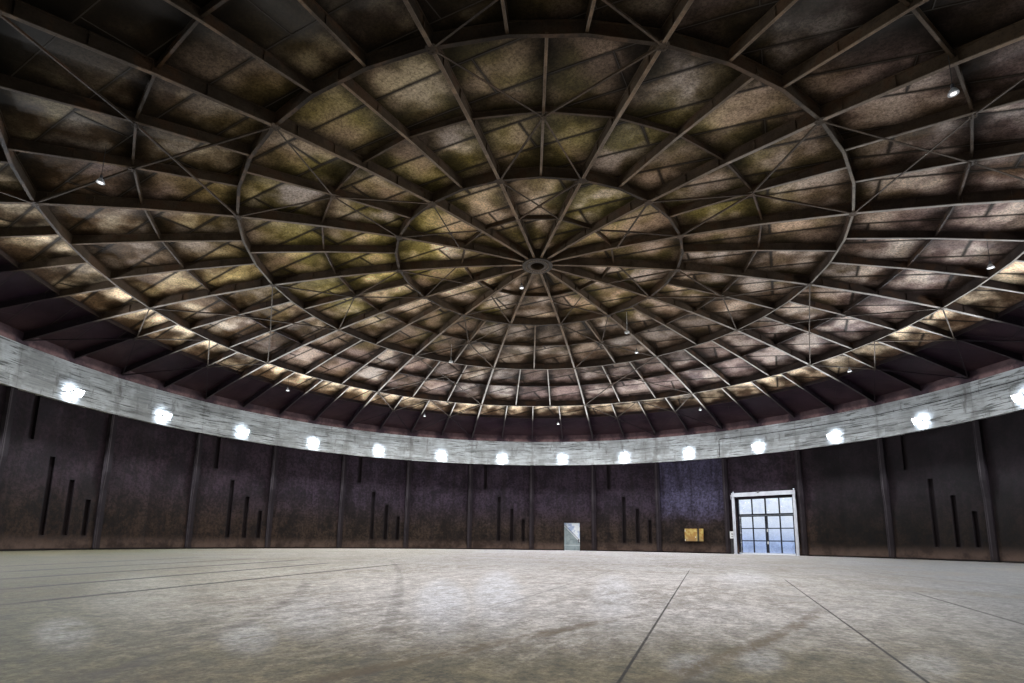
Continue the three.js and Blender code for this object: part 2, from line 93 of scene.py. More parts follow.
def skin_corner(r):
    n = next((i for i, s in enumerate(STATIONS) if s >= r and i), len(STATIONS) - 1)
    a, b = STATIONS[n - 1], STATIONS[n]
    t = (r - a) / (b - a)
    return rib_foot(a, RIB_DEPTH) * (1 - t) + rib_foot(b, RIB_DEPTH) * t


def skin(p):
    """Height of the underside of the roof sheets over a plan point."""
    found = atan2(p[0], p[1]) / STEP
    off = (found - floor(found + 1e-9) - 0.5) * STEP
    return skin_corner(hypot(p[0], p[1]) * cos(off) / cos(STEP / 2))


def placed(name, data):
    """A new object of the scene."""
    made = bpy.data.objects.new(name, data)
    scene.collection.objects.link(made)
    return made


# Meshes
class Shape:
    """Gathers closed bodies into one mesh, with a material number for each face."""

    def __init__(self):
        self.verts, self.faces, self.looks = [], [], []

    def add(self, verts, faces, look=0):
        n = len(self.verts)
        self.verts += [tuple(v) for v in verts]
        self.faces += [tuple(n + i for i in f) for f in faces]
        self.looks += [look] * len(faces)

    def block(self, base, x, y, z, look=0):
        """A box given by ranges along three directions from a base point."""
        o, ex, ey, ez = base
        corners = [o + ex * a + ey * b + ez * c for c in z for b in y for a in x]
        self.add(corners, [(0, 2, 3, 1), (4, 5, 7, 6), (0, 1, 5, 4), (2, 6, 7, 3), (0, 4, 6, 2), (1, 3, 7, 5)], look)

    def strip(self, lows, highs, side, half, look=0):
        """A bar of rectangular section along a line: its lower and upper points, and half its width to each side."""
        rows = []
        for lo, hi in zip(lows, highs):
            rows += [lo - side * half, lo + side * half, hi + side * half, hi - side * half]
        self.rings(rows, 4, look)

    def rings(self, rows, sides, look):
        """A closed body from rings of points that follow each other."""
        last = len(rows) - sides
        faces = [tuple(reversed(range(sides))), tuple(range(last, last + sides))]
        for k in range(0, last, sides):
            for i in range(sides):
                j = (i + 1) % sides
                faces.append((k + i, k + j, k + sides + j, k + sides + i))
        self.add(rows, faces, look)

    def tube(self, path, radius, sides=8, look=0):
        rows = []
        for k, p in enumerate(path):
            way = (path[min(k + 1, len(path) - 1)] - path[max(k - 1, 0)]).normalized()
            across = way.orthogonal().normalized() if k == 0 else (across - way * across.dot(way)).normalized()
            up = way.cross(across)
            for i in range(sides):
                t = 2 * pi * i / sides
                rows.append(p + across * (radius * cos(t)) + up * (radius * sin(t)))
        self.rings(rows, sides, look)

    def turned(self, base, profile, sides=16, look=0):
        """A profile of (radius, height) turned about the third direction of a base."""
        o, ex, ey, ez = base
        rows = [o + (ex * cos(t) + ey * sin(t)) * r + ez * h
                for r, h in profile for t in (2 * pi * i / sides for i in range(sides))]
        self.rings(rows, sides, look)

    def build(self, name, looks, body="hall", smooth=0.0, bevel=0.0):
        mesh = bpy.data.meshes.new(name)
        mesh.from_pydata(self.verts, [], self.faces)
        for look in looks:
            mesh.materials.append(look)
        mesh.polygons.foreach_set("material_index", self.looks)
        mesh.validate()
        mesh.update()
        if smooth:
            mesh.shade_smooth()
            mesh.set_sharp_from_angle(angle=radians(smooth))
        obj = placed(name, mesh)
        if bevel:
            edge = obj.modifiers.new("edges", "BEVEL")
            edge.width = bevel
            edge.segments = 2
            edge.limit_method = "ANGLE"
        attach(obj, body)
        return obj


def basis(step, r, z, x=0.0):
    """Origin and directions at a bearing: along the wall, away from the axis, up."""
    a = step * STEP
    ex = Vector((cos(a), -sin(a), 0))
    ey = Vector((sin(a), cos(a), 0))
    return local(step, x, r, z), ex, ey, UP


# Materials
class Wire:
    """The output of a node, to be used in ordinary arithmetic."""

    def __init__(self, look, socket):
        self.look = look
        self.do = look.do
        self.socket = socket

    def __add__(self, other):
        return self.do("ADD", self, other)

    def __radd__(self, other):
        return self.do("ADD", other, self)

    def __sub__(self, other):
        return self.do("SUBTRACT", self, other)

    def __rsub__(self, other):
        return self.do("SUBTRACT", other, self)

    def __mul__(self, other):
        return self.do("MULTIPLY", self, other)

    def __truediv__(self, other):
        return self.do("DIVIDE", self, other)

    def __mod__(self, other):
        return self.do("FLOORED_MODULO", self, other)

    def __gt__(self, other):
        return self.do("GREATER_THAN", self, other)

    def __abs__(self):
        return self.do("ABSOLUTE", self)

    def __floor__(self):
        return self.do("FLOOR", self)

    def mix(self, first, second, blend="MIX"):
        """A tone between two, this output being the share of the second."""
        made = self.look.node("ShaderNodeMix", data_type="RGBA", blend_type=blend)
        for place, given in ((0, self), (6, first), (7, second)):
            self.look.put(made.inputs[place], given)
        return made.outputs[2]

    def span(self, low, high, to_low=0.0, to_high=1.0):
        """A smooth change from one number to another between two values."""
        made = self.look.node("ShaderNodeMapRange", interpolation_type="SMOOTHSTEP")
        for place, given in zip(made.inputs, (self, low, high, to_low, to_high)):
            self.look.put(place, given)
        return Wire(self.look, made.outputs[0])

    def fade(self, low, high):
        """A smooth change from 1 to 0."""
        return self.span(low, high, 1.0, 0.0)


class Look:
    """A node material with short names for the nodes it is made of."""

    def __init__(self, name, gloss=0.5, **fixed):
        self.material = bpy.data.materials.new(name)
        self.material.use_nodes = True
        self.tree = self.material.node_tree
        self.tree.nodes.clear()
        self.shader = self.node("ShaderNodeBsdfPrincipled")
        out = self.node("ShaderNodeOutputMaterial")
        self.put(out.inputs[0], self.shader.outputs[0])
        self.shader.inputs["Specular IOR Level"].default_value = gloss
        for key, value in fixed.items():
            self.shader.inputs[key.replace("_", " ")].default_value = value
        self.at = self.node("ShaderNodeTexCoord").outputs["Object"]
        parts = self.node("ShaderNodeSeparateXYZ")
        self.put(parts.inputs[0], self.at)
        self.x, self.y, self.z = (Wire(self, socket) for socket in parts.outputs)

    def node(self, kind, **props):
        made = self.tree.nodes.new(kind)
        for key, value in props.items():
            setattr(made, key, value)
        return made

    def put(self, socket, value):
        if isinstance(value, Wire):
            value = value.socket
        if isinstance(value, bpy.types.NodeSocket):
            self.tree.links.new(value, socket)
        elif value is not None:
            if hasattr(value, "__len__") and len(value) == 3 and len(socket.default_value) == 4:
                value = (*value, 1.0)
            socket.default_value = value

    def do(self, operation, *values):
        made = self.node("ShaderNodeMath", operation=operation)
        for socket, value in zip(made.inputs, values):
            self.put(socket, value)
        return Wire(self, made.outputs[0])

    def least(self, first, *others):
        for other in others:
            first = self.do("MINIMUM", first, other)
        return first

    def most(self, first, second):
        return second if first is None else self.do("MAXIMUM", first, second)

    def noise(self, scale, detail=3.0, rough=0.55, at=None):
        made = self.node("ShaderNodeTexNoise")
        for key, value in (("Vector", at or self.at), ("Scale", scale), ("Detail", detail), ("Roughness", rough)):
            self.put(made.inputs[key], value)
        return Wire(self, made.outputs[0])

    def joined(self, x, y):
        made = self.node("ShaderNodeCombineXYZ")
        self.put(made.inputs[0], x)
        self.put(made.inputs[1], y)
        return made.outputs[0]

    def dice(self, x, y=0.0):
        """One random number for each pair of whole numbers."""
        made = self.node("ShaderNodeTexWhiteNoise", noise_dimensions="3D")
        self.put(made.inputs["Vector"], self.joined(x, y))
        return Wire(self, made.outputs["Value"])

    def away(self):
        """Distance from the axis."""
        return self.do("SQRT", self.x * self.x + self.y * self.y)

    def bearing(self):
        """The bearing in steps from 0 to 56."""
        return self.do("ARCTAN2", self.x, self.y) / STEP % 56.0

    def turned(self, toward, beside):
        """How far a point lies along a direction of the plan, and to the left of it."""
        return self.x * toward + self.y * beside, self.x * -beside + self.y * toward

    def scaled(self, colour, factor):
        made = self.node("ShaderNodeVectorMath", operation="SCALE")
        self.put(made.inputs[0], colour)
        self.put(made.inputs["Scale"], factor)
        return made.outputs[0]

    def done(self, colour, rough=None, height=None, strength=0.12, distance=0.002):
        """Joins colour, roughness and bump to the shader, and hands over the material."""
        self.put(self.shader.inputs["Base Color"], colour)
        self.put(self.shader.inputs["Roughness"], rough)
        if height is not None:
            made = self.node("ShaderNodeBump")
            for key, value in (("Strength", strength), ("Distance", distance), ("Height", height)):
                self.put(made.inputs[key], value)
            self.put(self.shader.inputs["Normal"], made.outputs[0])
        return self.material


def eave_shade(r):
    """Share of the last stretch before the ring beam, which no floodlight reaches; steel and sheets there are
    darkened as painted shade.
    """
    return r.span(9.12, 9.5)


def roof_look():
    look = Look("roof_sheets", gloss=0.14, Specular_Tint=(1.0, 0.84, 0.58, 1.0))
    r, steps = look.away(), look.bearing()
    ahead, aside = look.turned(*GATEWARD)
    along, across = look.turned(cos(SHEET_TURN), sin(SHEET_TURN))
    course = (across - ROW_START) / SHEET_WIDE
    row = floor(course)
    in_row = course - row
    sheet = (along - SHEET_START) / SHEET_LONG + row % 2.0 * 0.5
    column = floor(sheet)
    in_sheet = sheet - column
    edge = look.least(in_row * SHEET_WIDE, (1.0 - in_row) * SHEET_WIDE,
        in_sheet * SHEET_LONG, (1.0 - in_sheet) * SHEET_LONG)
    luck = look.dice(row, column)
    # Nearness of the ribs and rings, where the sheets are darkened as painted shade and dirt
    pitch = 4.0 - (r > RING_A) * 2.0 + (r > RING_B) * (-2 / 3) + (r > RING_C) * (-1 / 3)
    bay = (steps - FIRST_RIB) / pitch
    in_bay = (bay + 60.0) % 1.0
    to_rib = (0.5 - abs(in_bay - 0.5)) * pitch * r * STEP
    to_ring = look.least(*[abs(r - ring) for ring in (*RINGS, LIGHT_B, LIGHT_C)])
    near = ahead + aside * LEAN
    patch = look.noise(1.7, 2.5, 0.52)
    blotch = look.noise(0.85, 2.0, 0.6)
    grit = look.noise(26.0, 3.0, 0.9)
    rough_edge = (patch - 0.5) * 0.45
    margin = r.span(4.5, 7.0, 0.42, 0.3)
    clear = (to_rib + rough_edge).span(0.0, margin) * (to_ring + rough_edge).span(0.0, margin)
    # One glossier field in each bay, away from the ribs and rings, whose paler blotches are a painted highlight
    field = look.dice(floor(bay), pitch).span(0.1, 0.9) * clear
    outer = r.span(4.5, 7.5)
    hue = (blotch - aside * 0.016 + ahead.span(0.5, 4.5) * 0.14).span(0.34, 0.64)
    tone = hue.mix(outer.mix(OLIVE, UMBER), outer.mix(PLUM, MAUVE))
    pale = (luck * aside.span(-6.0, 5.0, 0.2, 1.0) * ahead.span(0.0, 4.0, 1.0, 0.35)).mix(PALE, STRAW)
    tone = (patch.span(0.4, 0.64) * (0.12 + field * 0.8)).mix(tone, pale)
    # Painted floodlight light: a warm band on the sheets just outside ring C
    lamp_pool = r.span(8.2, 8.45)
    gold = (patch * 1.5 - r * 0.5).span(-3.85, -3.45).mix(UMBER, LAMPLIT_GOLD)
    tone = (lamp_pool * 0.85).mix(tone, gold)
    # Mottling, dirt and the painted shade near the ribs and rings, then how much of the hall's light reaches this
    # part of the dome, painted into the colour
    mottled = ((0.6 + patch.span(0.34, 0.64) * 0.75) * (0.62 + luck * 0.8) * (0.24 + clear * 1.1)
        * grit.span(0.28, 0.72, 0.45, 1.55))
    over_gate = ahead.span(1.0, 3.5) * r.span(5.3, 5.8, 0.42, 0.22)
    lit = (r.span(1.0, 6.6, 1.7, 0.78) * near.span(-7.5, 0.5, 0.44, 1.0) * near.span(-8.0, -5.0, 0.06, 1.0)
        * (1.0 - over_gate) * aside.span(0.0, 5.0, 1.06, 1.45) * ahead.span(-6.0, -4.6, 0.36, 1.0))
    tone = look.scaled(tone, mottled * lit)
    seam_dirt = (edge + rough_edge * 0.08).fade(0.004, 0.055)
    tone = (seam_dirt * 0.92).mix(tone, (0.01, 0.007, 0.005))
    # Painted shade on the last stretch before the ring beam, which no floodlight reaches
    shaded_eave = r.span(9.8, 10.8).mix((0.017, 0.0082, 0.02), (0.031, 0.016, 0.025))
    tone = (eave_shade(r) * 0.96).mix(tone, look.scaled(shaded_eave, 0.5 + patch))
    normal = look.node("ShaderNodeSeparateXYZ")
    look.put(normal.inputs[0], look.node("ShaderNodeNewGeometry").outputs["Normal"])
    outside = Wire(look, normal.outputs[2]).span(0.1, 0.3)
    weather = blotch.span(0.35, 0.65).mix((0.3, 0.29, 0.27), (0.2, 0.185, 0.165))
    weather = (luck * 0.45).mix(weather, (0.36, 0.35, 0.33))
    weather = (edge + rough_edge * 0.2).span(0.0, 0.06, 0.75, 0.0).mix(weather, (0.09, 0.08, 0.07))
    weather = (patch.span(0.52, 0.66) * 0.5).mix(weather, (0.24, 0.15, 0.1))
    rough = 0.6 + (1.0 - field) * 0.22 + outside * 0.06
    return look.done(outside.mix(tone, weather), rough, patch, 0.5, 0.03)


def steel_look(name, low, high, rust, rust_share, rough, gloss, inner=None):
    """Weathered steel. Where a second pair of tones is given, it is used towards the hub and away from the gate, and
    the steel is darker still far from the gate: painted light and shade.
    """
    look = Look(name, gloss)
    r = look.away()
    wear = look.noise(2.0, 3.0, 0.7)
    fine = look.noise(42.0, 1.0, 0.7)
    share = wear.span(0.35, 0.65)
    tone = share.mix(low, high)
    if inner:
        ahead, aside = look.turned(*GATEWARD)
        near = ahead + aside * LEAN
        # Painted light and shade: the second pair of tones near the hub and away from the gate, darker still far
        # from it
        light = look.least(r.span(3.0, 7.2), near.span(-5.0, 0.4))
        tone = light.mix(share.mix(*inner), tone)
        tone = look.scaled(tone, near.span(-7.0, -4.5, 0.4, 1.0))
    tone = (wear.span(0.52, 0.62) * rust_share).mix(tone, rust)
    tone = (fine.span(0.5, 0.72) * 0.45).mix(tone, look.scaled(tone, 0.45))
    # Painted shade on the last stretch before the ring beam
    tone = (eave_shade(r) * 0.93).mix(tone, (0.016, 0.01, 0.016))
    return look.done(tone, rough + fine * 0.3, fine, 0.25, 0.003)


def curb_look():
    look = Look("curb_primer", gloss=0.25)
    steps = look.bearing()
    patch = look.noise(2.6, 4.0, 0.68)
    tone = patch.span(0.35, 0.65).mix((0.12, 0.066, 0.07), (0.29, 0.175, 0.175))
    # Painted shade and dirt at the ends of the ribs
    near = abs((steps + 0.5) % 1.0 - 0.5)
    ends = (near + (patch - 0.5) * 0.5).fade(0.06, 0.26)
    tone = (ends * 0.85).mix(tone, (0.036, 0.02, 0.034))
    # Darker towards the top, under the sheets, as painted shade
    tone = look.z.span(4.48, 4.57, 0.0, 0.7).mix(tone, (0.024, 0.013, 0.02))
    return look.done(tone, 0.5 + patch * 0.3, patch, 0.25, 0.006)


def wall_look():
    look = Look("wall_render", gloss=0.13)
    r, steps = look.away(), look.bearing()
    height = look.z - FLOOR_TOP
    arc = steps * (STEP * WALL_INNER)
    streak = look.noise(4.5, 3.0, 0.7, look.joined(arc, look.z * 0.1))
    cloud = look.noise(1.5, 5.0, 0.68)
    fine = look.noise(12.0, 3.0, 0.85)
    uneven = cloud - 0.5
    share = cloud.span(0.36, 0.62)
    low = share.mix((0.0078, 0.0047, 0.0037), (0.025, 0.0158, 0.0112))
    high = share.mix((0.009, 0.0054, 0.0092), (0.0205, 0.0132, 0.0205))
    tone = (height + uneven * 1.2).span(0.7, 1.9).mix(low, high)
    blue = steps.span(25.0, 25.08) * steps.fade(26.85, 27.0) * (height + uneven * 1.6).span(1.0, 1.9)
    tone = (blue * 0.85).mix(tone, share.mix((0.028, 0.025, 0.046), (0.041, 0.037, 0.067)))
    tone = (streak.span(0.44, 0.66) * 0.55).mix(tone, (0.0065, 0.004, 0.0045))
    tone = look.scaled(tone, fine.span(0.34, 0.66, 0.55, 1.55))
    sides = steps.fade(10.0, 16.0) + steps.span(27.5, 29.5)
    tone = sides.mix(tone, (1.0, 0.88, 0.8), "MULTIPLY")
    tone = look.scaled(tone, steps.span(28.9, 29.6, 0.9, 0.34) * steps.span(9.0, 15.0, 0.85, 1.0))
    lift = height / WALL_LIFT % 1.0
    joint = look.least(lift, 1.0 - lift)
    tone = joint.span(0.0, 0.01, 0.5, 0.0).mix(tone, (0.005, 0.003, 0.004))
    # Soft dark margins round the slots, in the bays that have them: painted shade and dirt that widen the slots'
    # dark recesses
    place = (steps - FIRST_RIB) % 4.0
    dirt = None
    for across, low_end, high_end in SLOTS:
        aside = abs(place - across * 2)
        share_up = height / (WALL_TOP - FLOOR_TOP)
        one = ((aside + uneven * 0.05).fade(0.045, 0.085) * share_up.span(low_end - 0.03, low_end)
            * share_up.fade(high_end, high_end + 0.03))
        dirt = look.most(dirt, one)
    gate_bay = steps.span(26.95, 27.0) * steps.fade(29.0, 29.05)
    tone = (dirt * 0.8 * (1.0 - gate_bay)).mix(tone, (0.0055, 0.0035, 0.0045))
    # Stains near the floor, and a black line where wall and floor meet
    foot = (height + uneven * 0.5).fade(0.1, 0.42)
    tone = (foot * 0.55).mix(tone, share.mix((0.034, 0.02, 0.015), (0.115, 0.076, 0.058)))
    # Painted shade in a band beside the posts, and painted highlights as thin pale lines on the posts' faces
    from_post = (((steps + 1.0) * 0.5 + 0.5) % 1.0 - 0.5) * (2 * STEP * WALL_INNER)
    post_shade = (abs(from_post) + uneven * 0.05).fade(0.075, 0.13)
    tone = (post_shade * 0.78).mix(tone, streak.mix((0.0045, 0.003, 0.004), (0.014, 0.01, 0.013)))
    post_highlight = abs(from_post + 0.03).fade(0.008, 0.02) * r.fade(10.958, 10.963)
    post_highlight = look.most(post_highlight, abs(from_post + 0.072).fade(0.004, 0.008))
    tone = (post_highlight * cloud.span(0.36, 0.56, 0.25, 0.9)).mix(tone, (0.04, 0.033, 0.037))
    tone = height.span(0.03, 0.055, 0.92, 0.0).mix(tone, (0.003, 0.002, 0.002))
    outer = r.span(11.12, 11.14)
    plain = share.mix((0.17, 0.15, 0.145), (0.235, 0.21, 0.2))
    plain = (streak.span(0.45, 0.72) * 0.5).mix(plain, (0.085, 0.075, 0.07))
    plain = (foot * 0.5).mix(plain, (0.1, 0.095, 0.075))
    plain = (fine.span(0.5, 0.75) * 0.35).mix(plain, (0.3, 0.275, 0.26))
    return look.done(outer.mix(tone, plain), 0.62 + fine * 0.3, fine, 0.35, 0.01)


def concrete_look(name, low, high, outer_low, outer_high):
    look = Look(name, gloss=0.25)
    r, steps = look.away(), look.bearing()
    arc = steps * (STEP * BEAM_INNER)
    grain = look.noise(1.6, 4.0, 0.72, look.joined(arc * 0.9, look.z * 13.0))
    run = look.noise(1.5, 4.0, 0.72, look.joined(arc * 3.0, look.z * 0.9))
    board = (look.z - BEAM_LOW) / BOARD_WIDE
    plank = floor(board)
    in_plank = board % 1.0
    end = arc / BOARD_LONG + look.dice(plank) * 3.0
    luck = look.dice(plank, floor(end))
    cloud = look.noise(1.3, 4.0, 0.65)
    tall = r.span(11.1, 11.12)
    light = tall.mix(high, outer_high)
    dark = tall.mix(low, outer_low)
    tone = cloud.span(0.36, 0.6).mix(dark, light)
    tone = (luck.span(0.62, 0.95) * 0.55).mix(tone, look.scaled(dark, 0.72))
    stained = (cloud + luck * 0.22).span(0.52, 0.66)
    tone = (grain.span(0.5, 0.6) * (0.3 + stained * 0.65)).mix(tone, (0.13, 0.14, 0.135))
    tone = (grain.span(0.44, 0.34) * 0.45).mix(tone, look.scaled(light, 1.15))
    tone = (run.span(0.56, 0.68) * 0.6).mix(tone, (0.155, 0.15, 0.145))
    joint = look.least(in_plank, 1.0 - in_plank)
    tone = (joint.span(0.0, 0.05, 0.5, 0.0) * run.span(0.42, 0.55)).mix(tone, (0.1, 0.1, 0.095))
    turn = (steps + 1.0) * 0.5 % 1.0
    lift = look.least(turn, 1.0 - turn)
    tone = (lift.span(0.0, 0.004, 0.45, 0.0) * grain.span(0.4, 0.5, 0.3, 1.0)).mix(tone, (0.06, 0.06, 0.056))
    beside = (lift + (cloud - 0.5) * 0.35).span(0.0, 0.05, 0.35, 0.0)
    tone = beside.mix(tone, (0.17, 0.165, 0.16))
    # Painted highlight along the beam's lower edge and, fainter, along its top
    ends = look.most(look.z.fade(BEAM_LOW, 3.5), look.z.span(4.4, 4.422) * 0.6)
    tone = (ends * 0.35 * cloud.span(0.4, 0.5)).mix(tone, (0.95, 0.98, 1.0))
    # Painted light: the beam is brighter between bearings 10 and 32, most between 18 and 25
    far = steps.span(10.0, 18.0) * steps.fade(25.0, 32.0)
    tone = look.scaled(tone, 1.0 + far * 0.38)
    return look.done(tone, 0.62 + run * 0.3, grain, 0.5, 0.008)


def floor_look():
    """Trowelled concrete, pale on the way to the gate as painted sheen and light, browner and darker at its sides
    and at the far end, partly as painted shade.
    """
    look = Look("floor_concrete", gloss=0.3)
    along, across = look.turned(cos(radians(FLOOR_WAY)), sin(radians(FLOOR_WAY)))
    ahead, aside = look.turned(*GATEWARD)
    brush = look.noise(7.5, 6.0, 0.8, look.joined(along * 0.42, across))
    cloud = look.noise(0.8, 3.0, 0.62)
    worn = look.noise(11.0, 5.0, 0.82)
    fine = look.noise(34.0, 4.0, 0.9)
    uneven = (cloud - 0.5) * 1.3 + (brush - 0.5) * 0.9
    from_corner = ahead + 12.0
    spread = abs(aside + FLOOR_AXIS) / from_corner
    # Painted sheen and light: a pale stretch on the way to the gate, with browner, darker tones at its sides
    pale = (ahead + uneven).span(-9.2, -7.6) * (spread + uneven * 0.1).fade(0.15, 0.7)
    bluish = (aside / from_corner).fade(-0.55, -0.15)
    edge = spread.span(0.25, 0.6)
    tone = pale.mix(edge.mix(FLOOR_NEAR, bluish.mix(FLOOR_BROWN, FLOOR_GREY)), FLOOR_PALE)
    tone = look.scaled(tone, (0.62 + brush.span(0.36, 0.62) * 0.4 + worn.span(0.38, 0.62) * 0.36)
        * ahead.span(-6.5, -1.0, 1.25, 0.8))
    stain = cloud.span(0.46, 0.6) * brush.span(0.62, 0.42)
    tone = (stain * 0.35).mix(tone, (0.175, 0.13, 0.075))
    # Painted sheen: whitish patches within the pale stretch
    tone = (cloud.span(0.46, 0.34) * brush.span(0.46, 0.58) * pale * 0.25).mix(tone, (0.5, 0.51, 0.56))
    # Painted reflections of the floodlights on the floor
    shine = None
    for away, left, long, wide, depth in FLOOR_SHINE:
        one = ahead - away
        two = aside - left - one * ((left - SHINE_LEFT) / (away - SHINE_AWAY))
        one, two = one / long, two / wide
        shine = look.most(shine, (one * one + two * two + (brush - 0.5) * 3.0).span(0.0, 1.5, depth, 0.0))
    tone = (shine * brush.span(0.36, 0.56, 0.25, 1.0)).mix(tone, (0.68, 0.7, 0.78))
    tone = aside.span(0.5, 3.5).mix(tone, (0.9, 0.885, 0.765), "MULTIPLY")
    tone = look.scaled(tone, fine.span(0.34, 0.66, 0.62, 1.38))
    grit = worn.span(0.58, 0.7) * fine.fade(0.35, 0.6)
    tone = (grit * 0.7).mix(tone, (0.06, 0.047, 0.034))
    # Tyre marks
    for cx, cy, size, wide, reach, paint, depth in TYRE_MARKS:
        dx = look.x - cx
        dy = look.y - cy
        away = abs(look.do("SQRT", dx * dx + dy * dy) - size)
        band = (away + (worn - 0.5) * (wide * 1.6)).fade(wide * 0.4, wide)
        marks = band * brush.span(0.64, 0.4, 0.25, 1.0) * ahead.span(reach - 0.6, reach + 0.4, depth, 0.0)
        tone = marks.mix(tone, paint)
    # Sawn joints
    cut = None
    for ax, ay, bx, by, wide, depth in FLOOR_CUTS:
        length = hypot(bx - ax, by - ay)
        ux, uy = (bx - ax) / length, (by - ay) / length
        dx = look.x - ax
        dy = look.y - ay
        t = dx * ux + dy * uy
        side = abs(dx * -uy + dy * ux)
        inside = t.span(-0.3, 0.3) * t.fade(length - 0.3, length + 0.3)
        cut = look.most(cut, side.span(wide * 0.5, wide * 1.6, depth, 0.0) * inside)
    tone = (cut * worn.span(0.36, 0.46, 0.55, 1.0)).mix(tone, (0.02, 0.015, 0.011))
    crack = abs(brush - 0.5).fade(0.0, 0.006) * cloud.span(0.46, 0.56)
    tone = (crack * 0.65).mix(tone, (0.05, 0.04, 0.032))
    return look.done(tone, 0.6 + worn * 0.25, worn, 0.12, 0.006)


def paint_look(name, colour, dirt, rough=0.35, chips=0.3, metallic=0.0):
    look = Look(name, Metallic=metallic)
    smear = look.noise(3.4, 5.0, 0.7)
    fine = look.noise(60.0, 1.0, 0.7)
    shade = smear.span(0.35, 0.6).mix(colour, tuple(c * 0.8 for c in colour))
    shade = (smear.span(0.56, 0.64) * chips).mix(shade, dirt)
    shade = (fine.span(0.5, 0.8) * 0.25).mix(shade, dirt)
    return look.done(shade, rough + fine * 0.25, fine)


def door_look():
    """Zinc sheet with a bluish sheen painted above the pressed diagonal as a reflection, and a greener tone below
    it.
    """
    look = Look("door_zinc", Metallic=0.25)
    turn = DOOR_STEP * STEP
    across = look.x * cos(turn) + look.y * -sin(turn)
    lift = look.z - FLOOR_TOP
    fold = lift + across - 0.405
    smear = look.noise(5.0, 5.0, 0.72)
    fine = look.noise(60.0, 1.0, 0.7)
    above = (fold + (smear - 0.5) * 0.12).span(-0.01, 0.02)
    tone = smear.span(0.38, 0.6).mix((0.21, 0.27, 0.29), (0.34, 0.41, 0.43))
    sheen = smear.span(0.38, 0.56).mix((0.4, 0.5, 0.72), (0.92, 0.97, 1.0))
    tone = above.mix(tone, sheen)
    # Dark and bright edges of the fold as painted shade and painted highlight, and the edge of the kick plate
    for value, middle, inner, outer, share, line in (
            (fold, 0.035, 0.01, 0.022, 0.85, (0.05, 0.06, 0.08)),
            (fold, -0.01, 0.01, 0.022, 0.85, (0.9, 0.95, 1.0)),
            (lift, 0.205, 0.008, 0.018, 0.7, (0.7, 0.76, 0.8))):
        tone = (abs(value - middle).fade(inner, outer) * share).mix(tone, line)
    tone = (fine.span(0.5, 0.75) * 0.3).mix(tone, (0.16, 0.18, 0.18))
    return look.done(tone, 0.32 + fine * 0.25, fine)


def cabinet_look():
    look = Look("cabinet_paint")
    smear = look.noise(6.0, 4.0, 0.7)
    fine = look.noise(55.0, 1.0, 0.7)
    tone = smear.span(0.38, 0.58).mix((0.4, 0.31, 0.085), (0.26, 0.13, 0.019))
    tone = (fine.span(0.5, 0.75) * 0.3).mix(tone, (0.2, 0.11, 0.04))
    low = (look.z + (smear - 0.5) * 0.3).span(0.55, 0.75, 0.45, 0.0)
    tone = low.mix(tone, (0.16, 0.1, 0.05))
    along = look.x * cos(CABINET_TURN) + look.y * -sin(CABINET_TURN)
    gap = abs(along - 0.15).span(0.022, 0.034, 0.9, 0.0)
    return look.done(gap.mix(tone, (0.012, 0.009, 0.008)), 0.32 + fine * 0.3, fine)


def gate_look():
    """Near-black gate paint, whitened along the foot of the leaves as painted daylight."""
    look = Look("gate_paint", gloss=0.2)
    smear = look.noise(4.0, 4.0, 0.7)
    tone = smear.span(0.36, 0.62).mix((0.0045, 0.0052, 0.01), (0.012, 0.014, 0.025))
    daylit_foot = (look.z + (smear - 0.5) * 0.05).span(0.15, 0.168, 0.85, 0.0)
    return look.done(daylit_foot.mix(tone, (0.62, 0.66, 0.74)), 0.34 + smear * 0.3, smear, 0.1)


def glass_look():
    """Panes with a film of dirt that catches the daylight, clearer blue towards the foot."""
    look = Look("pane_glass", Roughness=0.08, IOR=1.45, Transmission_Weight=1.0)
    smear = look.noise(2.6, 5.0, 0.66)
    lift = (look.z + (smear - 0.5) * 0.7).span(0.25, 1.35)
    tone = lift.mix((0.5, 0.6, 0.86), (0.97, 0.98, 1.0))
    return look.done(smear.span(0.42, 0.62).mix(tone, lift.mix((0.36, 0.45, 0.68), (0.86, 0.89, 0.97))))


def glow_look(name, colour, strength):
    look = Look(name, Roughness=0.2, Emission_Strength=strength)
    ripple = look.noise(60.0, 2.0)
    look.put(look.shader.inputs["Emission Color"], ripple.mix(colour, tuple(min(1.0, c * 1.05) for c in colour)))
    return look.done(ripple.mix((0.9, 0.92, 0.95), (0.8, 0.84, 0.9)))


def stage_look():
    look = Look("stage_pale", Roughness=0.8)
    return look.done(look.noise(0.25, 2.0).mix((0.635, 0.635, 0.63), (0.675, 0.675, 0.67)))


def seam_look():
    look = Look("seam_filler", gloss=0.2)
    fine = look.noise(35.0, 4.0, 0.7)
    colour = fine.mix((0.02, 0.016, 0.013), (0.06, 0.05, 0.04))
    return look.done(colour, 0.6 + fine * 0.3, fine, 0.2)


# Direction in the plan towards the bays between the door and the gate, and how the hall's light leans across it
GATEWARD = (0.7283, -0.6853)
LEAN = -0.35

# Tones of the roof sheets' underside. PALE and STRAW also make the painted highlight in the bays' middles, and the
# gold tone the painted floodlight light just outside ring C
OLIVE = (0.215, 0.172, 0.052)
PLUM = (0.198, 0.132, 0.084)
UMBER = (0.19, 0.116, 0.064)
MAUVE = (0.2, 0.134, 0.124)
PALE = (0.43, 0.365, 0.32)
STRAW = (0.4, 0.315, 0.135)
LAMPLIT_GOLD = (0.86, 0.68, 0.46)

# Height of a cast of the wall, width and length of the ring beam's boards
WALL_LIFT = 1.12
BOARD_WIDE = 0.118
BOARD_LONG = 1.35

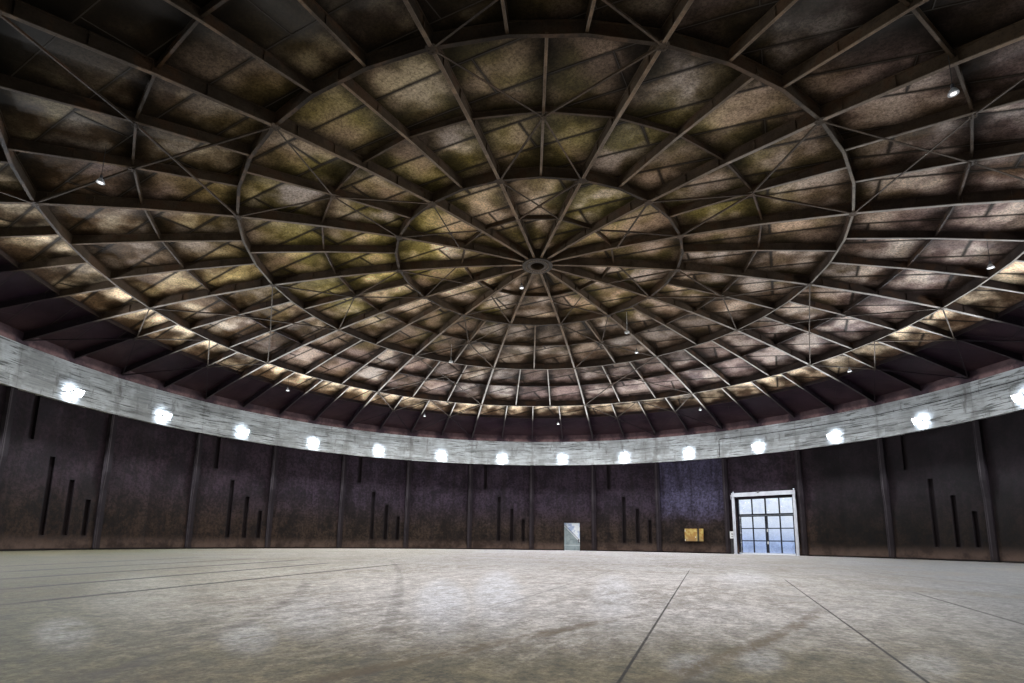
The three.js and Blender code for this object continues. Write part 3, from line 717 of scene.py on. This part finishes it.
# Wall slots: share of the bay's width, share of the wall's height from and to
SLOTS = ((0.24, 0.71, 1.01), (0.47, 0.1, 0.62), (0.68, 0.1, 0.48), (0.865, 0.1, 0.355))

# Floor: direction of the trowel marks in degrees, and each sawn joint's ends, half width and depth of tone
FLOOR_WAY = 116.8
FLOOR_AXIS = -0.3
# FLOOR_PALE is the tone under the floor's painted sheen; the three below are its browner, darker tones, partly
# painted shade
FLOOR_PALE = (0.39, 0.368, 0.362)
FLOOR_NEAR = (0.136, 0.113, 0.062)
FLOOR_BROWN = (0.09, 0.086, 0.047)
FLOOR_GREY = (0.092, 0.09, 0.086)
FLOOR_CUTS = ((-3.73, 0.95, -6.6, 6.6, 0.0045, 0.95), (-5.23, 1.82, -7.3, 6.4, 0.0045, 0.95),
    (-6.41, 2.5, -7.4, 4.8, 0.01, 0.8), (-5.11, 5.53, -2.61, 0.75, 0.01, 0.35),
    (-5.31, -0.87, -6.93, 1.04, 0.03, 0.4), (-3.61, 7.53, -0.59, 3.38, 0.032, 0.95),
    (-2.59, 7.53, 0.12, 4.1, 0.042, 0.95), (-1.51, 7.53, 1.33, 4.04, 0.05, 0.92),
    (-0.4, 7.53, 2.02, 4.58, 0.056, 0.9), (0.77, 7.53, 2.98, 5.07, 0.062, 0.85))

# Pale patches painted on the floor as reflections of the floodlights: place along and across the way to the gate,
# half length, half width, depth of tone. Their long sides point to one spot.
SHINE_AWAY, SHINE_LEFT = -10.53, 0.48
FLOOR_SHINE = ((-7.0, 0.92, 1.5, 0.17, 0.6), (-6.2, 0.58, 2.1, 0.18, 0.62), (-6.3, -0.31, 1.9, 0.16, 0.45),
    (-8.5, 2.11, 0.36, 0.12, 0.28), (-8.54, 1.42, 0.34, 0.11, 0.32), (-8.91, -0.04, 0.17, 0.08, 0.25),
    (-8.83, -0.28, 0.2, 0.08, 0.25), (-8.89, -0.75, 0.24, 0.1, 0.22), (-4.8, -1.96, 1.5, 0.3, 0.35),
    (-6.8, 3.0, 1.4, 0.35, 0.18), (-7.9, 1.45, 0.7, 0.16, 0.25))

# Tyre marks: centre, radius and half width of each arc, how far towards the gate it runs, its tone and depth of tone
TYRE_GREY = (0.09, 0.076, 0.06)
TYRE_BROWN = (0.125, 0.08, 0.03)
TYRE_MARKS = (
    (0.22, 13.9, 8.77, 0.05, -5.9, TYRE_GREY, 0.45), (29.86, 58.73, 63.09, 0.045, -1.0, TYRE_GREY, 0.42),
    (100.23, 18.61, 106.86, 0.055, -7.8, TYRE_BROWN, 0.62), (6.98, 6.9, 13.55, 0.05, -7.5, TYRE_BROWN, 0.65),
    (2.64, 18.1, 13.58, 0.05, 0.0, TYRE_GREY, 0.16),
)
DOOR_STEP = 22.5
CABINET_TURN = radians(167.44)

ROOF = roof_look()
# Dome steel: one steel given lit and shaded tones. Flanges and ring flanges are pale where the floodlights catch
# them from below, the flange lips palest as painted highlights on their edges, and the webs dark, partly as painted
# shade.
WEB = steel_look("dome_webs", (0.022, 0.014, 0.011), (0.046, 0.031, 0.023), (0.075, 0.034, 0.014), 0.5, 0.5, 0.15,
    ((0.06, 0.041, 0.025), (0.105, 0.073, 0.046)))
FLANGE = steel_look("dome_flanges", (0.4, 0.375, 0.345), (0.62, 0.59, 0.55), (0.26, 0.16, 0.09), 0.35, 0.55, 0.12,
    ((0.098, 0.063, 0.036), (0.172, 0.117, 0.07)))
LIP_HIGHLIGHT = steel_look("flange_lip_highlights", (0.32, 0.295, 0.27), (0.5, 0.47, 0.43), (0.22, 0.12, 0.06), 0.3, 0.5, 0.15,
    ((0.15, 0.11, 0.075), (0.24, 0.185, 0.13)))
RING = steel_look("ring_flanges", (0.24, 0.215, 0.18), (0.4, 0.37, 0.315), (0.16, 0.09, 0.05), 0.35, 0.55, 0.12,
    ((0.03, 0.02, 0.012), (0.058, 0.04, 0.025)))
CURB = curb_look()
BRACE = steel_look("brace_steel", (0.085, 0.07, 0.056), (0.16, 0.135, 0.11), (0.1, 0.055, 0.03), 0.4, 0.55, 0.12,
    ((0.045, 0.031, 0.02), (0.085, 0.06, 0.038)))
HUB = steel_look("hub_steel", (0.034, 0.024, 0.015), (0.06, 0.044, 0.028), (0.075, 0.04, 0.02), 0.4, 0.55, 0.15)
WALL = wall_look()
BEAM = concrete_look("beam_concrete", (0.37, 0.39, 0.395), (0.6, 0.64, 0.655), (0.27, 0.265, 0.25),
    (0.42, 0.415, 0.4))
FLOOR = floor_look()
SEAM = seam_look()
DARK = gate_look()
WHITE = paint_look("portal_paint", (0.44, 0.455, 0.5), (0.28, 0.27, 0.29), 0.35, 0.35)
SILVER = door_look()
YELLOW = cabinet_look()
BOX = paint_look("box_enamel", (0.66, 0.67, 0.66), (0.25, 0.24, 0.22), 0.4, 0.25)
LAMP_SHELL = paint_look("lamp_shell", (0.62, 0.64, 0.66), (0.25, 0.24, 0.22), 0.35, 0.2)
LAMP_BODY = paint_look("lamp_body", (0.1, 0.1, 0.11), (0.22, 0.2, 0.18), 0.4, 0.2, 0.3)
CABLE = paint_look("cable_rubber", (0.03, 0.03, 0.032), (0.09, 0.08, 0.075), 0.55, 0.2)
GLASS = glass_look()
LENS = glow_look("floodlight_lens", (0.86, 0.92, 1.0), 60.0)
SOFT_LENS = glow_look("pendant_lens", (1.0, 0.98, 0.94), 1.4)

FINISHES = (
    ("ring_beam", BEAM), ("curb_ring", CURB), ("dome_frame", WEB), ("hub_ring", HUB), ("roof_panel", ROOF),
    ("crown_plate", ROOF), ("gate_portal", WHITE), ("door_leaf", SILVER), ("door_frame", SILVER),
    ("wall_cabinet", YELLOW), ("control_box", BOX), ("floor_slab", FLOOR), ("", None))

for name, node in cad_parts.items():
    chosen = next(finish for start, finish in FINISHES if name.startswith(start))
    if chosen is None:
        chosen = WALL if "wall" in name else GLASS if "glass" in name else DARK
    for place in node.material_slots:
        place.material = chosen


# Dome steel: built-up ribs and rings with thin webs and flanges painted pale as lit from below, in place of the
# solid bars
LIP_HALF = 0.0025
STIFFENER_GAP = 0.55
LIGHT_DEPTH = 0.085


def built_up(shape, lows, tops, side, width, plate=0.007, web=0.008, lip=0.011, looks=(1, 2)):
    """A web between two flanges, the lower one with a lip along each edge."""
    over, under = [p + UP * plate for p in lows], [p - UP * plate for p in tops]
    shape.strip(lows, over, side, width / 2 - 0.003, looks[0])
    shape.strip(over, under, side, web / 2)
    shape.strip(under, tops, side, width / 2)
    for edge in (-1, 1):
        shift = side * edge * (width / 2 - LIP_HALF)
        shape.strip([p + shift for p in lows], [p + shift + UP * lip for p in lows], side, LIP_HALF, looks[1])


def rib(shape, step, start, end, width, lift):
    inner = sorted(s for s in (*STATIONS, *BENDS) if start + 0.05 < s < end - 0.05)
    stations = [start, *inner, end]
    side = local(step, 1, 0, 0)

    def under_skin(r):
        return min(skin(local(step, x, r, 0)) for x in (-width / 2, width / 2))

    built_up(shape, [point(r, step, rib_foot(r) + lift) for r in stations],
             [point(r, step, under_skin(r) - 0.0006) for r in stations], side, width)
    count = int((end - start) / STIFFENER_GAP)
    for k in range(1, count):
        r = start + k * (end - start) / count
        shape.block(basis(step, r, 0), (0.004 - width / 2, width / 2 - 0.004), (-0.0025, 0.0025),
                    (rib_foot(r) + lift + 0.005, under_skin(r) - 0.008))


def ring_length(shape, radius, a, b, half, slack, low, *form, looks):
    """A straight length of a ring between two ribs. Without a height given, its foot follows the sheets."""
    swing = (b - a) / 2 * STEP
    middle = (a + b) / 2
    y, reach = radius * cos(swing), radius * sin(swing)
    lows, tops = [], []
    for x in (-reach, 0, reach):
        foot = local(middle, x, y, 0)
        top = min(skin(local(middle, x * 0.999, y + e, 0)) for e in (-half, half)) - slack
        tops.append(foot + UP * top)
        lows.append(foot + UP * (top - LIGHT_DEPTH if low is None else low))
    built_up(shape, lows, tops, local(middle, 0, 1, 0), *form, looks=looks)


def brace(shape, a, b):
    """A straight angle bar between two points."""
    side = (b - a).normalized().cross(UP).normalized()
    thick, deep, shift = UP * 0.005, UP * 0.027, side * 0.008
    shape.strip([a, b], [a + thick, b + thick], side, 0.011, 1)
    shape.strip([a + thick + shift, b + thick + shift], [a + deep + shift, b + deep + shift], side, 0.003)


def bolt(shape, base, radius=0.009, height=0.007, look=1):
    shape.turned(base, [(radius, 0), (radius, height * 0.7), (radius * 0.7, height)], 6, look)


def knot(shape, r, step, z, size, bolts=4):
    """A flat plate under a crossing, with its bolts."""
    o, ex, ey, ez = basis(step, r, z)
    cut = size * 0.7
    face = 0.006
    ring = [(-size, -cut), (-cut, -size), (cut, -size), (size, -cut), (size, cut), (cut, size), (-cut, size),
        (-size, cut)]
    rows = [o + ex * x + ey * y + ez * h for h in (-face, 0.0) for x, y in ring]
    shape.rings(rows, 8, 1)
    for k in range(bolts):
        t = pi / 4 + k * 2 * pi / bolts
        at = o + (ex * cos(t) + ey * sin(t)) * (size * 0.72) - ez * face
        bolt(shape, (at, ex, -ey, -ez))


# Rods of a braced bay: the middle of each crossing as (radius, part of the bay), and the ends before and after it
ROD_DROP = -0.004
CROSSINGS = (
    ((2.12, 2), ((1.72, 0), (1.72, 4)), ((RING_A, 0), (RING_A, 4))),
    ((LIGHT_B, 2), ((RING_A, 0), (RING_A, 4)), ((RING_B, 0), (RING_B, 4))),
    ((LIGHT_C, 4 / 3), ((RING_C, 0),), ((RING_B, 4),)),
    ((LIGHT_C, 8 / 3), ((RING_C, 4),), ((RING_B, 0),)),
    ((LIGHT_D, 1), ((RING_C, 0), (RING_C, 2)), ((10.86, 0), (10.86, 2))),
    ((LIGHT_D, 3), ((RING_C, 2), (RING_C, 4)), ((10.86, 2), (10.86, 4))),
)

# Side ribs and ring lengths of each zone: inner radius, outer radius, parts of the bay
ZONES = ((RING_A, RING_B, 2), (RING_B, RING_C, 3), (RING_C, RIB_END, 4))

for group, first in enumerate(BRACED, 1):
    steel = Shape()
    for start in (first, first + 4):
        rib(steel, start, HUB_FACE, RIB_END, 0.048, 0.0)
        for inner_r, outer_r, parts in ZONES:
            for k in range(1, parts):
                rib(steel, start + 4 * k / parts, inner_r, outer_r, 0.035, 0.03)
        for radius, _, parts in ZONES:
            for k in range(parts):
                ring_length(steel, radius, start + 4 * k / parts, start + 4 * (k + 1) / parts, 0.023, 0.002,
                            rib_foot(radius) + 0.006, 0.046, looks=(3, 0))
    built = steel.build(f"dome_steel_{group}", [WEB, FLANGE, LIP_HIGHLIGHT, RING])
    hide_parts(f"dome_frame_{group}")

light_steel = Shape()
braces = Shape()
for start in MAIN_RIBS:
    for radius, parts in LIGHT_RINGS:
        for a, b in zip(parts, parts[1:]):
            ring_length(light_steel, radius, start + a, start + b, 0.018, 0.001, None, 0.03, 0.005, 0.006,
                looks=(0, 0))
for start in BRACED:
    def rod_end(place):
        r, part = place
        return point(r, start + part, rib_foot(r) + ROD_DROP)
    for middle, before, after in CROSSINGS:
        for place in before:
            brace(braces, rod_end(place), rod_end(middle))
        for place in after:
            brace(braces, rod_end(middle), rod_end(place))
        knot(braces, middle[0], start + middle[1], rib_foot(middle[0]) + ROD_DROP, 0.04)
for step in MAIN_RIBS:
    for r in RINGS:
        knot(braces, r, step, rib_foot(r), 0.062, 6)
light_steel.build("light_rings", [WEB, FLANGE, LIP_HIGHLIGHT])
braces.build("bracing", [WEB, BRACE, LIP_HIGHLIGHT])

# Roof sheet joints, under and over the sheets
seams = Shape()
U = Vector((cos(SHEET_TURN), sin(SHEET_TURN), 0))
V = Vector((-sin(SHEET_TURN), cos(SHEET_TURN), 0))


def seam(a, b, width, lift, thick):
    count = max(2, int((b - a).length / 0.35))
    line = [a.lerp(b, k / count) for k in range(count + 1)]
    heights = [skin(p) + lift for p in line]
    seams.strip([p + UP * min(h, CROWN_TOP - 0.005) for p, h in zip(line, heights)],
                [p + UP * min(h + thick, CROWN_TOP) for p, h in zip(line, heights)],
                (b - a).normalized().cross(UP), width / 2)


for above in (False, True):
    reach = 11.3 if above else 10.88
    lift, thick = (0.0195, 0.006) if above else (-0.0035, 0.0042)
    for k in range(-21, 18):
        low, high = ROW_START + SHEET_WIDE * k, ROW_START + SHEET_WIDE * (k + 1)
        if abs(low) < reach - 0.3:
            u = sqrt(reach ** 2 - low * low)
            seam(U * -u + V * low, U * u + V * low, 0.011, lift, thick)
        for j in range(-5, 6):
            u = SHEET_START + SHEET_LONG * (j - (0.5 if k % 2 else 0))
            if max(hypot(u, low), hypot(u, high)) < reach:
                seam(U * u + V * low, U * u + V * high, 0.01, lift, thick)
seams.build("roof_sheet_joints", [SEAM])

# Hub bolts, and the small boxes hung from the roof as (radius, bearing, height)
HUB_BOLTS = (0.233, 6.1753)
HUNG_BOXES = ((3.33, 27.83, 5.69), (4.84, 16.36, 5.52))
hub = Shape()
for step in range(0, 56, 2):
    o, ex, ey, ez = basis(step, *HUB_BOLTS)
    bolt(hub, (o, ex, -ey, -ez), 0.013, 0.01, 0)
hub.build("hub_bolts", [LIP_HIGHLIGHT])

boxes = Shape()
for r, step, z in HUNG_BOXES:
    base = basis(step, r, z)
    boxes.block(base, (-0.05, 0.05), (-0.035, 0.035), (-0.03, 0.02))
    boxes.block(base, (-0.02, 0.02), (-0.05, -0.035), (-0.02, 0.01))
    boxes.block(base, (-0.004, 0.004), (-0.004, 0.004), (0.02, skin(plan(r, step)) - z - 0.001))
boxes.build("roof_sensors", [BOX], bevel=0.003)

# Surface conduit on the ring beam, right of the gate: it rises, bends and follows the beam
PIPE_R = 10.877
PIPE_Z = 4.15
PIPE_FOOT = 26.9
conduit = Shape()
run = [PIPE_FOOT + 0.25 * k for k in range(33)]
conduit.tube([point(PIPE_R, PIPE_FOOT, z) for z in (3.5, 3.8, 4.1)]
    + [point(PIPE_R, 26.93, 4.14), point(PIPE_R, 27.0, PIPE_Z)]
    + [point(PIPE_R, step, PIPE_Z) for step in run[1:]], 0.01)
for step in run[2::4]:
    conduit.block(basis(step, PIPE_R, PIPE_Z), (-0.012, 0.012), (-0.012, 0.0125), (-0.018, 0.018))
for z in (3.6, 3.95):
    conduit.block(basis(PIPE_FOOT, PIPE_R, z), (-0.018, 0.018), (-0.012, 0.0125), (-0.01, 0.01))
conduit.build("beam_conduit", [CABLE], smooth=40)

# Portal: knobs on the header, a bracket, a small dark fitting and anchor bolts
GATE = 28
HEADER_MIDDLE, HEADER_FRONT, HEADER_TOP = 10.905, 10.8684, 2.1902
SHIFT = 0.015
KNOB = [(0.014, 0), (0.014, 0.014), (0.024, 0.024), (0.026, 0.036), (0.018, 0.048), (0.006, 0.052)]
trim = Shape()
for x in (-0.985, 1.005):
    trim.turned(basis(GATE, HEADER_MIDDLE, HEADER_TOP, x + SHIFT), KNOB, 16)
base = basis(GATE, HEADER_MIDDLE, 0, SHIFT)
trim.block(base, (-1.085, -1.0745), (-0.014, 0.014), (1.975, 2.135))
trim.block(base, (-1.0745, -1.0403), (-0.014, 0.014), (2.105, 2.117))
for x in (-1.02, -0.98, 0.98, 1.02):
    for z in (2.08, 2.165):
        o, ex, ey, ez = basis(GATE, HEADER_FRONT - 0.0004, z, x + SHIFT)
        bolt(trim, (o, ex, ez, -ey), 0.01, 0.008, 0)
trim.build("portal_trim", [WHITE], smooth=35)
fitting = Shape()
base = basis(GATE, HEADER_FRONT, 0)
fitting.block(base, (-0.135, -0.075), (-0.025, -0.0004), (2.155, 2.218))
fitting.block(base, (-0.12, -0.09), (-0.036, -0.025), (2.17, 2.2))
for k in range(3):
    fitting.block(base, (-0.128, -0.082), (-0.028, -0.024), (2.166 + 0.016 * k, 2.172 + 0.016 * k))
fitting.build("portal_sensor", [LAMP_BODY], bevel=0.002)

# Gate leaves: bolt rod on the left one, pull handles on the right one
INNER_FACE = 11.145
ROD_X, PULL_X = -0.875, 0.024
CLEAR = -0.0003
rod = Shape()
rod.tube([local(GATE, ROD_X, INNER_FACE - 0.02, z) for z in (0.16, 0.5, 0.9, 1.36)], 0.007, 10)
for z in (0.2, 0.5, 0.82, 1.1, 1.34):
    rod.block(basis(GATE, INNER_FACE, z, ROD_X), (-0.016, 0.016), (-0.028, CLEAR), (-0.014, 0.014))
for z in (0.82, 1.36):
    rod.turned(basis(GATE, INNER_FACE - 0.02, z, ROD_X), [(0.01, -0.022), (0.016, -0.012), (0.016, 0.012),
        (0.01, 0.022)], 14)
rod.build("gate_bolt_rod", [WHITE], "gate_leaf_left_body", smooth=35)
pulls = Shape()
for z in (0.898, 0.494):
    o, ex, ey, ez = basis(GATE, INNER_FACE, z, PULL_X)
    pulls.block((o, ex, ey, ez), (-0.014, 0.014), (-0.006, CLEAR), (-0.045, 0.045))
    bow = ((0.004, -0.03), (0.03, -0.03), (0.036, -0.02), (0.036, 0.02), (0.03, 0.03), (0.004, 0.03))
    pulls.tube([o - ey * proud + ez * h for proud, h in bow], 0.006, 10)
    for h in (-0.04, 0.04):
        bolt(pulls, (o + ez * h - ey * 0.006, ex, ez, -ey), 0.005, 0.003, 0)
pulls.build("gate_pull_handles", [BOX], "gate_leaf_right_body", smooth=35)

# Door: pressed diagonal as (across, height), kick plate, lever and lock plate
DOOR_FACE = 11.185
FOLD = ((-0.515, 1.02), (-0.05, 0.56))
FOLD_SECTION = ((-0.022, 0.0), (-0.006, 0.006), (0.006, 0.006), (0.022, 0.0))
pressings = Shape()
o, ex, ey, ez = base = basis(DOOR_STEP, DOOR_FACE, 0)
across_fold = (ex * 0.7 + ez * 0.72).normalized()
rows = [o + ex * x + ez * z + across_fold * side + ey * (CLEAR - rise)
    for x, z in FOLD for side, rise in FOLD_SECTION]
rows += [v + ey * 0.0002 for v in rows]
faces = [(k, k + 1, k + 5, k + 4) for k in range(3)] + [(k + 12, k + 13, k + 9, k + 8) for k in range(3)]
faces += [(0, 4, 12, 8), (3, 11, 15, 7)]
faces += [(k, k + 8, k + 9, k + 1) for k in range(3)] + [(k, k + 1, k + 9, k + 8) for k in (4, 5, 6)]
pressings.add(rows, faces)
pressings.block(base, (-0.525, 0.012), (-0.0035, CLEAR), (0.115, 0.3))
pressings.build("door_pressings", [SILVER], "door_leaf_body", smooth=30)
lever = Shape()
o, ex, ey, ez = base = basis(DOOR_STEP, DOOR_FACE, 0.48, -0.005)
lever.block(base, (-0.016, 0.016), (-0.006, CLEAR), (-0.085, 0.065))
grip = ((0.004, 0), (0.034, 0), (0.038, -0.01), (0.038, -0.07))
lever.tube([o - ey * proud + ez * 0.03 + ex * x for proud, x in grip], 0.007, 10)
lever.turned((o - ez * 0.045 - ey * 0.006, ex, ez, -ey), [(0.01, 0), (0.01, 0.008), (0.006, 0.01)], 12)
lever.build("door_lever", [LAMP_BODY], "door_leaf_body", smooth=35)

# Cabinet lock and hinges, control box buttons and the board under it
CABINET_FACE = 10.888
cab = Shape()
o, ex, ey, ez = base = basis(CABINET_TURN / STEP, CABINET_FACE, 0.66, 0.064)
cab.turned((o - ey * 0.0004, ex, ez, -ey), [(0.014, 0), (0.014, 0.006), (0.009, 0.009)], 16)
cab.block(base, (-0.003, 0.003), (-0.014, -0.008), (-0.009, 0.009))
for z in (-0.1, 0.24):
    cab.block(base, (-0.378, -0.362), (-0.01, CLEAR), (z - 0.03, z + 0.03))
cab.build("cabinet_lock", [BOX], bevel=0.001)
CONTROL = 27.5
buttons = Shape()
for z in (0.69, 0.78):
    buttons.block(basis(CONTROL, 10.9224, 0), (-0.478, -0.446), (-0.008, CLEAR), (z - 0.022, z + 0.022))
buttons.block(basis(CONTROL, 10.9824, 0), (-0.536, -0.424), (-0.018, -0.0004), (0.115, 0.6295))
buttons.tube([local(CONTROL, -0.5, 10.945, z) for z in (0.63, 0.4, 0.13)], 0.009, 8)
buttons.build("control_buttons_and_board", [CABLE], bevel=0.001)

# Camera
eye = bpy.data.cameras.new("camera")
camera = placed("camera", eye)
right = Vector((-0.68673, -0.7268, 0.01306))
up = Vector((-0.10658, 0.11845, 0.98722))
forward = Vector((0.71906, -0.67656, 0.1588))
turned = Matrix((right, up, -forward)).transposed().to_4x4()
camera.matrix_world = Matrix.Translation((-7.34222, 7.57222, 0.44727)) @ turned
eye.lens = 18.83
eye.sensor_width = 36
eye.shift_y = 0.1105
eye.clip_start = 0.02
eye.clip_end = 300
scene.camera = camera


def light(kind, name, place, axes, energy, colour, **more):
    data = bpy.data.lights.new(name, kind)
    data.energy = energy
    data.color = colour
    for key, value in more.items():
        setattr(data, key, value)
    made = placed(name, data)
    made.matrix_world = Matrix.Translation(place) @ Matrix(axes).transposed().to_4x4()
    made.visible_camera = False
    return made


# Floodlights on the ring beam, one for each bay. Those near LIT_STEP give the hall its light.
FLOOD_R, FLOOD_Z = 10.66, 3.7
FLOOD_X, FLOOD_Y = 0.112, 0.088
FACE_TILT, BEAM_TILT = radians(28), radians(33)
WIDE = radians(150)
LIT_STEP, LIT_REACH = 21, radians(110)
bodies = Shape()
lenses = Shape()
for step in range(0, 56, 2):
    o, ex, ey, ez = base = basis(step, FLOOD_R, FLOOD_Z)
    out = -ey * cos(FACE_TILT) - ez * sin(FACE_TILT)
    rise = ez * cos(FACE_TILT) - ey * sin(FACE_TILT)
    face = (o, ex, rise, out)
    bodies.block(face, (-FLOOD_X, FLOOD_X), (-FLOOD_Y, FLOOD_Y), (-0.035, 0.005))
    for x in (-0.08, -0.04, 0.0, 0.04, 0.08):
        bodies.block(face, (x - 0.004, x + 0.004), (-0.07, 0.07), (-0.05, -0.034))
    for x in (-0.121, 0.113):
        bodies.block(base, (x, x + 0.008), (-0.02, 0.228), (-0.012, 0.012))
    bodies.block(base, (-0.121, 0.121), (0.22, 0.2295), (-0.02, 0.02))
    lenses.block(face, (0.008 - FLOOD_X, FLOOD_X - 0.008), (0.008 - FLOOD_Y, FLOOD_Y - 0.008), (0.004, 0.009))
    if cos((step - LIT_STEP) * STEP) < cos(LIT_REACH):
        continue
    way = -ey * cos(BEAM_TILT) - ez * sin(BEAM_TILT)
    light("SPOT", f"flood_{step}", o + out * 0.05, (ex, -way.cross(ex), -way), 330, (0.9, 0.94, 1.0),
          spot_size=WIDE, spot_blend=0.04, shadow_soft_size=0.07)
    light("SPOT", f"glow_{step}", o + ey * 0.09 + ez * 0.01, (ex, ez, -ey), 18.0, (0.8, 0.88, 1.0),
          spot_size=WIDE, spot_blend=0.6, shadow_soft_size=0.03)
bodies.build("floodlight_bodies", [LAMP_SHELL], bevel=0.002)
lenses.build("floodlight_lenses", [LENS])

# Hung lamps as (radius, bearing, height): shade, glass, socket and cable
LAMPS = ((7.25, 1.41, 5.1), (6.94, 43.11, 5.16), (7.7, 37.51, 5.0), (0.43, 13.14, 5.85), (4.46, 26.96, 5.57),
    (8.65, 12.04, 4.78), (8.45, 32.01, 4.83), (8.82, 21.94, 4.73), (8.69, 16.94, 4.77), (8.65, 27.09, 4.78),
    (8.65, 48.0, 4.78), (8.65, 53.0, 4.78))
SHADE = [(0.047, -0.03), (0.05, -0.03), (0.048, -0.018), (0.032, 0.014), (0.021, 0.03), (0.018, 0.034)]
pendants = Shape()
for r, step, z in LAMPS:
    base = basis(step, r, z)
    pendants.turned(base, SHADE, 24)
    pendants.turned(base, [(0.043, -0.028), (0.03, -0.03), (0.008, -0.032)], 24, 2)
    pendants.turned(base, [(0.018, 0.03), (0.018, 0.075), (0.014, 0.082), (0.005, 0.088)], 16, 1)
    pendants.turned(base, [(0.0035, 0.08), (0.0035, skin(plan(r, step)) - z)], 6, 3)
pendants.build("pendant_lamps", [LAMP_SHELL, LAMP_BODY, SOFT_LENS, CABLE], smooth=40)

# Stage, lights and world
STAGE = 90
stage_mesh = bpy.data.meshes.new("stage")
stage_mesh.from_pydata([(x * STAGE, y * STAGE, -0.002) for x, y in ((-1, -1), (1, -1), (1, 1), (-1, 1))], [],
    [(0, 1, 2, 3)])
stage = placed("stage", stage_mesh)
stage_mesh.materials.append(stage_look())

world = bpy.data.worlds.new("world")
world.use_nodes = True
colour, strength = world.node_tree.nodes["Background"].inputs[:2]
colour.default_value = (0.8, 0.88, 1.0, 1)
strength.default_value = 1.0
scene.world = world


def area(name, place, target, size, energy, colour):
    turned = (Vector(target) - Vector(place)).to_track_quat("-Z", "Y").to_matrix()
    return light("AREA", name, place, turned.transposed(), energy, colour, shape="DISK", size=size)


area("floor_bounce", (5.2, -5.2, 0.13), (5.2, -5.2, 5), 8.5, 60, (1.0, 0.93, 0.84)).visible_glossy = False
area("floor_sheen", (0, 0, 4.15), (0, 0, 0), 18.0, 1080, (1.0, 0.965, 0.93)).visible_glossy = False
area("outer_key", (-20, -26, 22), (0, 0, 2), 16.0, 9000, (1.0, 0.98, 0.95))
area("outer_fill", (26, 14, 18), (0, 0, 2), 18.0, 4500, (0.92, 0.96, 1.0))

scene.view_settings.view_transform = "Standard"
